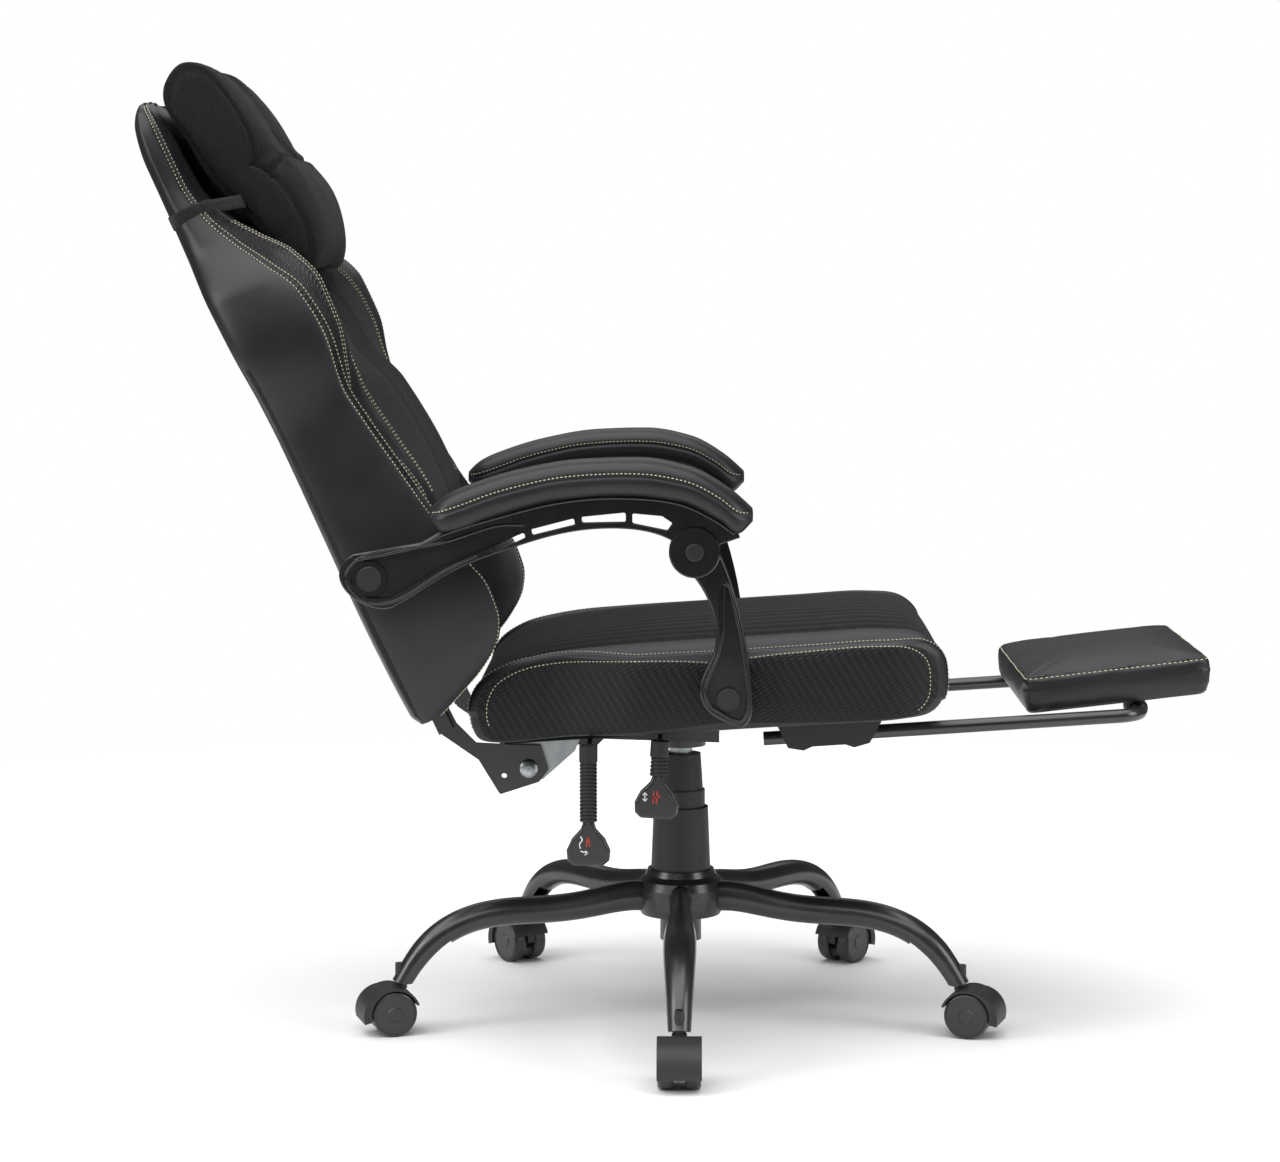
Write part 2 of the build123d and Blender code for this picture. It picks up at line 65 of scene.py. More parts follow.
# ---- material helpers ----
def material(name, color, rough, metallic=0.0, coat=0.0, sheen=0.0, specular=0.5):
    mat = bpy.data.materials.new(name)
    mat.use_nodes = True
    shader = mat.node_tree.nodes["Principled BSDF"]
    shader.inputs["Base Color"].default_value = (*color, 1)
    shader.inputs["Roughness"].default_value = rough
    shader.inputs["Metallic"].default_value = metallic
    shader.inputs["Coat Weight"].default_value = coat
    shader.inputs["Coat Roughness"].default_value = 0.25
    shader.inputs["Sheen Weight"].default_value = sheen
    shader.inputs["Sheen Roughness"].default_value = 0.5
    shader.inputs["Specular IOR Level"].default_value = specular
    return mat


def node(mat, kind, **values):
    """Add a shader node; each value sets the input of that name, or else a property."""
    made = mat.node_tree.nodes.new(kind)
    for key, value in values.items():
        if key in made.inputs.keys():
            made.inputs[key].default_value = value
        else:
            setattr(made, key, value)
    return made


def join(mat, source, out, target, into):
    mat.node_tree.links.new(source.outputs[out], target.inputs[into])


def noise(mat, scale, detail, rough=0.5):
    spot = node(mat, "ShaderNodeTexCoord")
    tex = node(mat, "ShaderNodeTexNoise", Scale=scale, Detail=detail, Roughness=rough)
    join(mat, spot, "Object", tex, "Vector")
    return tex


def ramp(mat, source, out, low, high, a, b):
    """Map the range a to b of a texture onto low to high."""
    made = node(mat, "ShaderNodeMapRange")
    made.inputs["From Min"].default_value = a
    made.inputs["From Max"].default_value = b
    made.inputs["To Min"].default_value = low
    made.inputs["To Max"].default_value = high
    join(mat, source, out, made, "Value")
    return made


def add_bumps(mat, layers):
    """Chain bump nodes: layers are (node, output, strength, distance in metres)."""
    shader = mat.node_tree.nodes["Principled BSDF"]
    last = None
    for tex, out, strength, distance in layers:
        bump = node(mat, "ShaderNodeBump", Strength=strength, Distance=distance)
        join(mat, tex, out, bump, "Height")
        if last:
            join(mat, last, "Normal", bump, "Normal")
        last = bump
    join(mat, last, "Normal", shader, "Normal")


def vary(mat, tex, out, color_low, color_high, rough_low, rough_high, a=0.35, b=0.65):
    """Base colour and roughness follow one texture, over its range a to b."""
    shader = mat.node_tree.nodes["Principled BSDF"]
    mix = node(mat, "ShaderNodeMix", data_type="RGBA")
    mix.inputs[6].default_value = (*color_low, 1)
    mix.inputs[7].default_value = (*color_high, 1)
    fac = ramp(mat, tex, out, 0, 1, a, b)
    join(mat, fac, "Result", mix, 0)
    join(mat, mix, 2, shader, "Base Color")
    rough = ramp(mat, tex, out, rough_low, rough_high, a, b)
    join(mat, rough, "Result", shader, "Roughness")


def wave(mat, scale, direction, distortion=0.0, turn=0.0):
    """Stripes with scale in periods per metre along one axis of the skin's flat coordinates."""
    spot = node(mat, "ShaderNodeTexCoord")
    place = node(mat, "ShaderNodeMapping")
    place.inputs["Rotation"].default_value = (0, 0, turn)
    join(mat, spot, "UV", place, "Vector")
    tex = node(mat, "ShaderNodeTexWave", bands_direction=direction, wave_profile="SIN")
    tex.inputs["Scale"].default_value = scale * 2 * math.pi / WAVE_RADIANS_PER_UNIT
    tex.inputs["Distortion"].default_value = distortion
    tex.inputs["Detail"].default_value = 0
    join(mat, place, "Vector", tex, "Vector")
    return tex


def product(mat, a, aout, b, bout, operation="MULTIPLY"):
    """Combine two textures, by default by multiplying them."""
    made = node(mat, "ShaderNodeMath", operation=operation)
    join(mat, a, aout, made, 0)
    join(mat, b, bout, made, 1)
    return made


# ---- materials ----
def faux_leather():
    """Smooth polyurethane: fine pebble grain over faint unevenness."""
    mat = material("faux_leather", (0.010, 0.0105, 0.012), 0.42, coat=0.06, specular=0.4)
    spot = node(mat, "ShaderNodeTexCoord")
    grain = node(mat, "ShaderNodeTexVoronoi", Scale=850.0)
    join(mat, spot, "Object", grain, "Vector")
    soft = noise(mat, 14, 5)
    vary(mat, soft, "Fac", (0.0095, 0.010, 0.0115), (0.012, 0.0127, 0.0146), 0.40, 0.45)
    add_bumps(mat, [(noise(mat, 22, 3), "Fac", 0.06, 0.0020), (grain, "Distance", 0.35, 0.0003)])
    return mat


def carbon_leather():
    """Polyurethane embossed with a fine diagonal twill."""
    mat = material("carbon_leather", (0.009, 0.0095, 0.011), 0.46, coat=0.0, specular=0.25)
    slant = math.radians(-32)
    twill = wave(mat, 235, "Y", turn=slant)
    cross = wave(mat, 120, "X", turn=slant)
    both = product(mat, twill, "Fac", cross, "Fac")
    vary(mat, both, "Value", (0.006, 0.006, 0.007), (0.012, 0.0128, 0.015), 0.54, 0.44, 0.1, 0.8)
    add_bumps(mat, [(noise(mat, 18, 3), "Fac", 0.25, 0.002), (both, "Value", 0.8, 0.0008)])
    return mat


def ribbed_leather():
    """Glossier strip with short ribs across it."""
    mat = material("ribbed_leather", (0.016, 0.017, 0.020), 0.33, coat=0.2)
    slant = math.radians(-18)
    ribs = wave(mat, 150, "Y", turn=slant)
    fine = wave(mat, 420, "X", turn=slant)
    both = product(mat, ribs, "Fac", fine, "Fac", "ADD")
    vary(mat, ribs, "Fac", (0.005, 0.005, 0.006), (0.028, 0.029, 0.033), 0.52, 0.26, 0.2, 0.8)
    add_bumps(mat, [(both, "Value", 1.0, 0.0022)])
    return mat


def weave_fabric(name, color, scale, sheen):
    """Plain woven cloth: crossed threads with slubs."""
    mat = material(name, color, 0.92, sheen=sheen, specular=0.15)
    warp = wave(mat, scale, "X", distortion=1.0)
    weft = wave(mat, scale * 0.8, "Y", distortion=1.0)
    both = product(mat, warp, "Fac", weft, "Fac")
    slub = noise(mat, 260, 3)
    mixed = product(mat, both, "Value", slub, "Fac", "ADD")
    low = tuple(c * 0.55 for c in color)
    high = tuple(c * 1.7 for c in color)
    vary(mat, mixed, "Value", low, high, 0.98, 0.85, 0.3, 1.2)
    add_bumps(mat, [(noise(mat, 30, 3), "Fac", 0.2, 0.002), (mixed, "Value", 0.8, 0.0006)])
    return mat


def plastic(name, color, rough, grain_scale, grain, coat=0.0):
    mat = material(name, color, rough, coat=coat)
    scuff = noise(mat, 9, 6, 0.6)
    vary(mat, scuff, "Fac", color, tuple(c * 1.35 for c in color), rough - 0.05, rough + 0.06)
    add_bumps(mat, [(noise(mat, grain_scale, 2), "Fac", grain, 0.0004)])
    return mat


def powder_coat():
    mat = material("powder_coat", (0.012, 0.012, 0.013), 0.30, coat=0.3, specular=0.6)
    peel = noise(mat, 420, 2)
    dust = noise(mat, 7, 6, 0.65)
    vary(mat, dust, "Fac", (0.010, 0.010, 0.011), (0.017, 0.017, 0.018), 0.26, 0.36)
    add_bumps(mat, [(peel, "Fac", 0.12, 0.0003)])
    return mat


def zinc():
    mat = material("zinc_plate", (0.38, 0.40, 0.41), 0.36, metallic=1.0)
    vary(mat, noise(mat, 60, 6), "Fac", (0.30, 0.33, 0.34), (0.46, 0.48, 0.48), 0.28, 0.46)
    add_bumps(mat, [(noise(mat, 900, 2), "Fac", 0.15, 0.0002)])
    return mat


def rubber():
    mat = material("rubber", (0.010, 0.010, 0.010), 0.55, specular=0.4)
    vary(mat, noise(mat, 40, 4), "Fac", (0.008, 0.008, 0.008), (0.015, 0.015, 0.015), 0.48, 0.65)
    add_bumps(mat, [(noise(mat, 700, 3), "Fac", 0.25, 0.0003)])
    return mat


def thread():
    mat = material("thread", (0.62, 0.57, 0.40), 0.8, sheen=0.3)
    twist = noise(mat, 1500, 2)
    vary(mat, twist, "Fac", (0.50, 0.45, 0.28), (0.78, 0.73, 0.55), 0.75, 0.9)
    add_bumps(mat, [(twist, "Fac", 0.5, 0.0003)])
    return mat


def print_ink(name, color):
    mat = material(name, color, 0.5)
    vary(mat, noise(mat, 300, 3), "Fac", tuple(c * 0.8 for c in color), color, 0.45, 0.6)
    return mat


LEATHER = faux_leather()
CARBON = carbon_leather()
RIBBED = ribbed_leather()
FABRIC = weave_fabric("channel_fabric", (0.010, 0.010, 0.011), 620, 0.08)
PILLOW = weave_fabric("pillow_fabric", (0.013, 0.013, 0.014), 700, 0.08)
WEBBING = weave_fabric("webbing", (0.016, 0.016, 0.017), 520, 0.1)
STEEL = powder_coat()
MATTE = plastic("matte_plastic", (0.015, 0.015, 0.016), 0.52, 900, 0.35)
CAP = plastic("cap_plastic", (0.008, 0.008, 0.009), 0.58, 700, 0.3)
SATIN = plastic("satin_plastic", (0.008, 0.008, 0.009), 0.24, 500, 0.08, coat=0.25)
GLOSS = plastic("wheel_plastic", (0.022, 0.022, 0.023), 0.36, 600, 0.1, coat=0.1)
ZINC = zinc()
RUBBER = rubber()
THREAD = thread()
UNDERSIDE = weave_fabric("dust_cover", (0.012, 0.012, 0.012), 400, 0.1)


# ---- shape helpers ----
def linked(name, data):
    """New object in the scene for a mesh, a lamp or a camera."""
    obj = bpy.data.objects.new(name, data)
    bpy.context.scene.collection.objects.link(obj)
    return obj


def smooth(x, knots, values):
    """Monotone cubic through a few knots, so that a profile never overshoots them."""
    k = np.asarray(knots, float)
    y = np.asarray(values, float)
    x = np.clip(np.asarray(x, float), k[0], k[-1])
    h = np.diff(k)
    d = np.diff(y) / h
    m = np.zeros_like(y)
    same = d[:-1] * d[1:] > 0
    w1 = 2 * h[1:] + h[:-1]
    w2 = h[1:] + 2 * h[:-1]
    safe = np.where(same, d[:-1], 1), np.where(same, d[1:], 1)
    m[1:-1] = np.where(same, (w1 + w2) / (w1 / safe[0] + w2 / safe[1]), 0)
    m[0], m[-1] = d[0], d[-1]
    i = np.clip(np.searchsorted(k, x, side="right") - 1, 0, len(h) - 1)
    t = (x - k[i]) / h[i]
    a = y[i] * (1 + 2 * t) * (1 - t) ** 2 + y[i + 1] * t * t * (3 - 2 * t)
    return a + h[i] * (m[i] * t * (1 - t) ** 2 - m[i + 1] * t * t * (1 - t))


def table(x, pairs):
    return smooth(x, [p[0] for p in pairs], [p[1] for p in pairs])


def through(points, counts, closed=False):
    """Catmull-Rom line through points, counts samples on each of its spans."""
    pts = np.asarray(points, float)
    n = len(pts)
    out = []
    spans = n if closed else n - 1
    for i in range(spans):
        if closed:
            p0, p1, p2, p3 = (pts[(i + k) % n] for k in (-1, 0, 1, 2))
        else:
            p1, p2 = pts[i], pts[i + 1]
            p0 = pts[i - 1] if i else 2 * p1 - p2
            p3 = pts[i + 2] if i + 2 < n else 2 * p2 - p1
        count = counts[i] if hasattr(counts, "__len__") else counts
        a = math.sqrt(np.linalg.norm(p1 - p0)) + 1e-6
        b = math.sqrt(np.linalg.norm(p2 - p1)) + 1e-6
        c = math.sqrt(np.linalg.norm(p3 - p2)) + 1e-6
        m1 = ((p1 - p0) / a - (p2 - p0) / (a + b) + (p2 - p1) / b) * b
        m2 = ((p2 - p1) / b - (p3 - p1) / (b + c) + (p3 - p2) / c) * b
        t = np.linspace(0, 1, count, endpoint=False)[:, None]
        out.append((2 * t**3 - 3 * t**2 + 1) * p1 + (t**3 - 2 * t**2 + t) * m1
                   + (3 * t**2 - 2 * t**3) * p2 + (t**3 - t**2) * m2)
    if not closed:
        out.append(pts[-1:])
    return np.vstack(out)


def grid_normals(grid):
    """Outward unit normals of a grid closed along its first axis."""
    along = np.roll(grid, -1, 0) - np.roll(grid, 1, 0)
    across = np.gradient(grid, axis=1)
    n = np.cross(along, across)
    length = np.linalg.norm(n, axis=2, keepdims=True)
    n = n / np.where(length < 1e-12, 1, length)
    centre = grid.reshape(-1, 3).mean(0)
    if np.sum(n * (grid - centre)) < 0:
        n = -n
    return n


def metres_along(grid, axis):
    step = np.linalg.norm(np.diff(grid, axis=axis), axis=2)
    pad = [(0, 0), (0, 0)]
    pad[axis] = (1, 0)
    return np.pad(np.cumsum(step, axis=axis), pad)


def boxed_uv(mesh, turn):
    """Flat coordinates in metres for each face, seen along the axis its normal is nearest to.

    turn tips the three axes about Y first, so that they follow a cushion that leans back.
    """
    c, s = math.cos(turn), math.sin(turn)
    tip = np.array([[c, 0, s], [0, 1, 0], [-s, 0, c]])
    co = np.empty(len(mesh.vertices) * 3)
    mesh.vertices.foreach_get("co", co)
    co = co.reshape(-1, 3) @ tip.T
    normals = np.empty(len(mesh.polygons) * 3)
    mesh.polygons.foreach_get("normal", normals)
    axis = np.abs(normals.reshape(-1, 3) @ tip.T).argmax(1)
    totals = np.empty(len(mesh.polygons), np.int32)
    mesh.polygons.foreach_get("loop_total", totals)
    corner = np.empty(len(mesh.loops), np.int32)
    mesh.loops.foreach_get("vertex_index", corner)
    facing = np.repeat(axis, totals)
    p = co[corner]
    uv = np.where((facing == 0)[:, None], p[:, [2, 1]],
                  np.where((facing == 1)[:, None], p[:, [0, 2]], p[:, [0, 1]]))
    mesh.uv_layers["metres"].data.foreach_set("uv", uv.reshape(-1).astype(np.float32))


def grid_object(name, grid, mats, chooser, boxed=None):
    """A closed skin from a grid that wraps along its first axis and ends in two shut rims."""
    nu, nj = grid.shape[:2]
    verts = grid.reshape(-1, 3)
    i, j = np.meshgrid(np.arange(nu), np.arange(nj - 1), indexing="ij")
    nxt = (i + 1) % nu
    quads = np.stack([i * nj + j, nxt * nj + j, nxt * nj + j + 1, i * nj + j + 1], -1).reshape(-1, 4)
    mesh = bpy.data.meshes.new(name)
    mesh.from_pydata([tuple(v) for v in verts], [], [tuple(map(int, q)) for q in quads])
    for mat in mats:
        mesh.materials.append(mat)
    index = chooser(i.reshape(-1), j.reshape(-1))
    mesh.polygons.foreach_set("material_index", np.asarray(index, np.int32))
    mesh.polygons.foreach_set("use_smooth", np.ones(len(quads), bool))
    u = metres_along(np.vstack([grid, grid[:1]]), 0).mean(1)
    v = metres_along(grid, 1)
    layer = mesh.uv_layers.new(name="metres")
    us = np.stack([u[i], u[i + 1], u[i + 1], u[i]], -1).reshape(-1)
    vs = np.stack([v[i, j], v[nxt, j], v[nxt, j + 1], v[i, j + 1]], -1).reshape(-1)
    layer.data.foreach_set("uv", np.stack([us, vs], -1).reshape(-1).astype(np.float32))
    obj = linked(name, mesh)
    weld(obj)
    if boxed is not None:
        boxed_uv(obj.data, boxed)
    return obj


def weld(obj):
    """Merge the shut rims and make the faces look outwards."""
    bm = bmesh.new()
    bm.from_mesh(obj.data)
    bmesh.ops.remove_doubles(bm, verts=bm.verts, dist=1e-6)
    bmesh.ops.recalc_face_normals(bm, faces=bm.faces)
    bm.to_mesh(obj.data)
    bm.free()


def one_material(i, j):
    """Chooser that gives every face the first material."""
    return np.zeros(len(i), int)


def bell(x, width):
    return np.exp(-(x / width) ** 2)


def step_up(x, middle, width):
    """Smooth step from 0 to 1."""
    return 1 / (1 + np.exp(-(x - middle) / width))


def there_and_back(half):
    """A closed ring from half an outline that starts and ends on the middle line."""
    return np.vstack([half, (half * [-1, 1])[-2:0:-1]])


def capped(loops, steps=5):
    """Add shrinking copies of the first and last loop, so that a loft is shut at both ends."""
    first, last = loops[0], loops[-1]
    head, tail = [], []
    for s in range(steps):
        f = s / steps
        head.append(first.mean(0) + (first - first.mean(0)) * f)
        tail.append(last.mean(0) + (last - last.mean(0)) * (1 - (s + 1) / steps))
    return head + list(loops) + tail


def tree_of(points):
    tree = KDTree(len(points))
    for k, p in enumerate(points):
        tree.insert(p, k)
    tree.balance()
    return tree


def inflate(obj, seams, pressure, cap, frames=14, hold=2.2):
    """Blow a cover up against its sewn seams with cloth physics, and keep the shape it takes.

    Points within hold millimetres of the seams stay put, and none moves further than cap.
    The returned function carries other points along with the skin they lie on.
    """
    mesh = obj.data
    start = np.empty(len(mesh.vertices) * 3)
    mesh.vertices.foreach_get("co", start)
    start = start.reshape(-1, 3)
    sewn = tree_of(seams)
    pins = [k for k, p in enumerate(start) if sewn.find(p)[2] < hold * MM]
    group = obj.vertex_groups.new(name="seams")
    group.add(pins, 1.0, "REPLACE")
    cloth = obj.modifiers.new("puff", "CLOTH")
    cloth.settings.quality = 6
    cloth.settings.mass = 0.25
    cloth.settings.tension_stiffness = 12
    cloth.settings.compression_stiffness = 12
    cloth.settings.shear_stiffness = 5
    cloth.settings.bending_stiffness = 0.4
    cloth.settings.use_pressure = True
    cloth.settings.uniform_pressure_force = pressure
    cloth.settings.vertex_group_mass = "seams"
    cloth.settings.effector_weights.gravity = 0
    cloth.collision_settings.use_collision = False
    scene = bpy.context.scene
    for frame_number in range(1, frames + 1):
        scene.frame_set(frame_number)
    made = obj.evaluated_get(bpy.context.evaluated_depsgraph_get()).data
    end = np.empty(len(made.vertices) * 3)
    made.vertices.foreach_get("co", end)
    shift = end.reshape(-1, 3) - start
    length = np.linalg.norm(shift, axis=1, keepdims=True)
    shift = shift * np.minimum(1, cap * MM / np.maximum(length, 1e-9))
    obj.modifiers.remove(cloth)
    obj.vertex_groups.remove(group)
    scene.frame_set(1)
    mesh.vertices.foreach_set("co", (start + shift).reshape(-1))
    mesh.update()
    skin = tree_of(start)
    return lambda points: np.array([p + shift[skin.find(p)[1]] for p in points])


def row_beside(grid, normal, k, columns, distance):
    """Points on the skin a signed distance in millimetres round from ring index k."""
    n = grid.shape[0]
    step = 1 if distance > 0 else -1
    line, facing = [], []
    for j in columns:
        left = abs(distance) * MM
        i = k % n
        while True:
            after = (i + step) % n
            length = np.linalg.norm(grid[after, j] - grid[i, j])
            if length >= left:
                break
            left -= length
            i = after
        f = left / length
        line.append(grid[i, j] * (1 - f) + grid[after, j] * f)
        facing.append(normal[i, j] * (1 - f) + normal[after, j] * f)
    return np.array(line), np.array(facing)


def stitches(name, line, normal, body, pitch=0.0047, length=0.0029, radius=0.00055):
    """A row of short threads lying on a surface along a line."""
    line = np.asarray(line, float)
    normal = np.asarray(normal, float)
    run = np.concatenate([[0], np.cumsum(np.linalg.norm(np.diff(line, axis=0), axis=1))])
    centres = np.arange(pitch / 2, run[-1], pitch)
    sides, rings = 6, 5
    angle = np.linspace(0, 2 * math.pi, sides, endpoint=False)
    verts, faces = [], []

    def at(values, s):
        return np.array([np.interp(s, run, values[:, k]) for k in range(3)])

    for c in centres:
        a, b = at(line, c - length / 2), at(line, c + length / 2)
        n = at(normal, c)
        n /= np.linalg.norm(n) + 1e-9
        along = (b - a) / (np.linalg.norm(b - a) + 1e-9)
        side = np.cross(along, n)
        base = len(verts)
        for r in range(rings):
            f = r / (rings - 1)
            swell = math.sqrt(max(0.0, 1 - (2 * f - 1) ** 2)) * 0.75 + 0.25
            mid = a + (b - a) * f + n * radius * (0.9 * swell - 0.25)
            verts += [mid + radius * swell * (math.cos(t) * side + math.sin(t) * n) for t in angle]
        for r in range(rings - 1):
            for k in range(sides):
                k2 = (k + 1) % sides
                faces.append((base + r * sides + k, base + r * sides + k2,
                              base + (r + 1) * sides + k2, base + (r + 1) * sides + k))
        faces.append(tuple(base + k for k in range(sides)))
        faces.append(tuple(base + (rings - 1) * sides + k for k in reversed(range(sides))))
    mesh = bpy.data.meshes.new(name)
    mesh.from_pydata([tuple(v) for v in verts], [], faces)
    mesh.polygons.foreach_set("use_smooth", np.ones(len(faces), bool))
    mesh.materials.append(THREAD)
    obj = linked(name, mesh)
    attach(obj, body)


# ---- backrest ----
# Profiles along the backrest: V runs up its rear face, W stands off that face, both in millimetres.
HALF_WIDTH = [(-4, 244), (60, 266), (130, 274), (230, 264), (350, 254), (450, 271), (520, 259),
              (590, 214), (660, 194), (735, 182), (758, 166), (770, 138), (776, 96)]
REAR = [(-4, 6), (10, 0), (400, 0), (480, -4), (600, -10), (700, -11), (745, -6), (765, 2), (776, 8)]
CREST = [(-4, 34), (9, 66), (27, 105), (51, 136), (81, 150), (111, 152), (145, 143), (213, 126),
         (270, 115), (336, 103), (376, 98), (445, 107), (498, 100), (544, 74), (582, 49),
         (621, 30), (668, 20), (735, 19), (765, 15), (776, 11)]
INNER = [(-4, 20), (60, 42), (115, 62), (172, 104), (226, 124), (309, 107), (367, 98), (395, 106),
         (451, 120), (498, 121), (542, 105), (580, 73), (619, 44), (660, 28), (735, 24), (765, 17),
         (776, 12)]
CENTRE = [(-4, 18), (60, 34), (115, 50), (172, 100), (225, 138), (265, 139), (361, 130), (417, 111),
          (471, 106), (520, 84), (570, 60), (630, 40), (690, 30), (745, 26), (765, 18), (776, 12)]
INNER_INSET = [(-4, 30), (115, 40), (226, 34), (367, 26), (470, 40), (560, 44), (620, 38), (776, 34)]
BORDER = [(-4, 40), (226, 44), (470, 50), (620, 40), (776, 30)]
BACK_LOW_V, BACK_TOP_V = -4, 776
BACK_SPANS = [8, 10, 6, 8, 10, 6, 8, 10, 12, 14, 30, 30]
SEAM_CREST, SEAM_INNER, SEAM_FABRIC = 6, 8, 10      # section points that carry a seam
BACK_FABRIC_TOP_V = 560
BACK_CHANNEL_PITCH = 23.0


def back_point(y, v, w):
    """Backrest coordinates in millimetres as a point in metres."""
    x = BACK_HEEL[0] - v * math.sin(BACK_TILT) + w * math.cos(BACK_TILT)
    z = BACK_HEEL[1] + v * math.cos(BACK_TILT) + w * math.sin(BACK_TILT)
    return np.array([x, y, z]) * MM


def back_half_section(v):
    """Half of the backrest's section at height v, from the rear's middle to the front's."""
    half_width, rear = table(v, HALF_WIDTH), table(v, REAR)
    crest, inner, centre = table(v, CREST), table(v, INNER), table(v, CENTRE)
    inset, border = table(v, INNER_INSET), table(v, BORDER)
    depth = crest - rear
    inner_y = half_width - inset
    fabric_y = inner_y - border
    fabric_w = inner + (centre - inner) * 0.35
    return [(0, rear), (half_width * 0.6, rear), (half_width - 22, rear + 0.5),
            (half_width - 5, rear + min(9, depth * 0.2)), (half_width + 1, rear + depth * 0.45),
            (half_width - 3, crest - depth * 0.16), (half_width - 10, crest),
            (half_width - 10 - inset * 0.35, crest + (inner - crest) * 0.3 + 3), (inner_y, inner),
            (inner_y - border * 0.5, inner + (fabric_w - inner) * 0.5 + 3), (fabric_y, fabric_w),
            (fabric_y * 0.5, centre - 1), (0, centre)]


def backrest():
    stations = np.concatenate([np.linspace(BACK_LOW_V, 30, 16, endpoint=False),
                               np.linspace(30, 740, 200, endpoint=False),
                               np.linspace(740, BACK_TOP_V, 20)])
    loops = []
    for v in stations:
        half = through(back_half_section(v), BACK_SPANS)
        ring = there_and_back(half)
        loops.append(np.array([back_point(y, v, w) for y, w in ring]))
    count = np.cumsum([0] + BACK_SPANS)
    crest, inner, fabric = (count[k] for k in (SEAM_CREST, SEAM_INNER, SEAM_FABRIC))
    ring_size = len(loops[0])
    extra = 5
    grid = np.stack(capped(loops, steps=extra), 1)
    normal = grid_normals(grid)
    vs = np.concatenate([np.full(extra, stations[0]), stations, np.full(extra, stations[-1])])
    arc = metres_along(np.vstack([grid, grid[:1]]), 0)[:-1] / MM
    push = np.zeros(grid.shape[:2])
    live = np.ones(len(vs))
    live[:extra] = 0
    live[-extra:] = 0
    y_mm = grid[:, :, 1] / MM
    for k in (crest, ring_size - crest):
        push -= 2.2 * bell(arc - arc[k], 2.6)
    upper = step_up(vs, 200, 12)
    for k in (inner, ring_size - inner):
        push -= 2.0 * bell(arc - arc[k], 2.4) * upper * (vs < 640)
    for k in (fabric, ring_size - fabric):
        push -= 2.0 * bell(arc - arc[k], 2.6) * (vs < BACK_FABRIC_TOP_V)
    index = np.arange(ring_size)[:, None]
    front = (index > fabric) & (index < ring_size - fabric)
    front = front & (vs < BACK_FABRIC_TOP_V) & (np.abs(y_mm) < 92)
    channel = np.abs(np.sin(math.pi * (y_mm / BACK_CHANNEL_PITCH + 0.5)))
    push += np.where(front, 4.2 * (channel ** 0.5 - 1), 0)
    push += 0.48 * np.sin(vs / 31.0 + y_mm / 60) * bell(index - crest * 0.5, 18)
    grid = grid + normal * (push * live)[:, :, None] * MM
    half_index = np.minimum(np.arange(ring_size), ring_size - np.arange(ring_size))

    def choose(i, j):
        h = half_index[i]
        v = vs[j]
        mat = np.zeros(len(i), int)
        mat[(h >= crest) & (h < inner) & (v > 240) & (v < 612)] = 1
        mat[(h >= fabric) & (v < BACK_FABRIC_TOP_V)] = 2
        mat[(h > count[3] - 1) & (h < count[3] + 2) & (v < 440)] = 3
        return mat

    shell = grid_object("backrest_upholstery", grid, [LEATHER, RIBBED, FABRIC, WEBBING], choose)
    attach(shell, "backrest")
    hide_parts("back_cushion")
    normal = grid_normals(grid)
    head_strap(grid, normal, int(np.argmin(np.abs(vs - STRAP_V))), inner)
    live_v = range(extra, len(vs) - extra - 4)
    low_v = [k for k in live_v if vs[k] < 606]
    inner_v = [k for k in low_v if vs[k] > 226]
    fabric_v = [k for k in inner_v if vs[k] < 556]
    rows = [("crest_out", crest, -4.6, live_v), ("crest_in", crest, 4.6, live_v),
            ("inner_out", inner, -4.2, inner_v), ("inner_in", inner, 4.2, inner_v),
            ("fabric_out", fabric, -4.2, fabric_v), ("fabric_in", fabric, 4.2, fabric_v)]
    for label, k, distance, js in rows:
        for side, kk, way in (("right", ring_size - k, -1), ("left", k, 1)):
            line, facing = row_beside(grid, normal, kk, js, distance * way)
            stitches(f"back_stitch_{label}_{side}", line, facing, "backrest")


STRAP_V = 630
STRAP_END = (142, 622, 70)      # Y, V and W of the left end, at the pillow's side


def head_strap(grid, normal, row, inner):
    """Elastic band from the pillow's ends over the crests and round the rear of the back."""
    rear_to_front = list(range(0, inner + 1, 2))
    lift = 1.5 * MM
    half = [grid[k, row] + normal[k, row] * lift for k in rear_to_front]
    facing = [normal[k, row] for k in rear_to_front]
    half.append(back_point(*STRAP_END))
    facing.append(facing[-1])
    mirror = np.array([1, -1, 1])
    line = [p * mirror for p in half[:0:-1]] + half
    facing = [f * mirror for f in facing[:0:-1]] + facing
    up = back_point(0, 1, 0) - back_point(0, 0, 0)
    up /= np.linalg.norm(up)
    wide, thick = 7.8 * MM, 0.8 * MM
    section = [(wide * a, thick * b) for a, b in ((-1, 0), (-0.97, 0.8), (-0.5, 1), (0, 1), (0.5, 1),
               (0.97, 0.8), (1, 0), (0.97, -0.8), (0.5, -1), (0, -1), (-0.5, -1), (-0.97, -0.8))]
    loops = [np.array([p + up * a + f * b for a, b in section]) for p, f in zip(line, facing)]
    strap = grid_object("head_strap", np.stack(capped(loops, steps=2), 1), [WEBBING],
                        one_material)
    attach(strap, "backrest")
    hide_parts("headrest_strap")


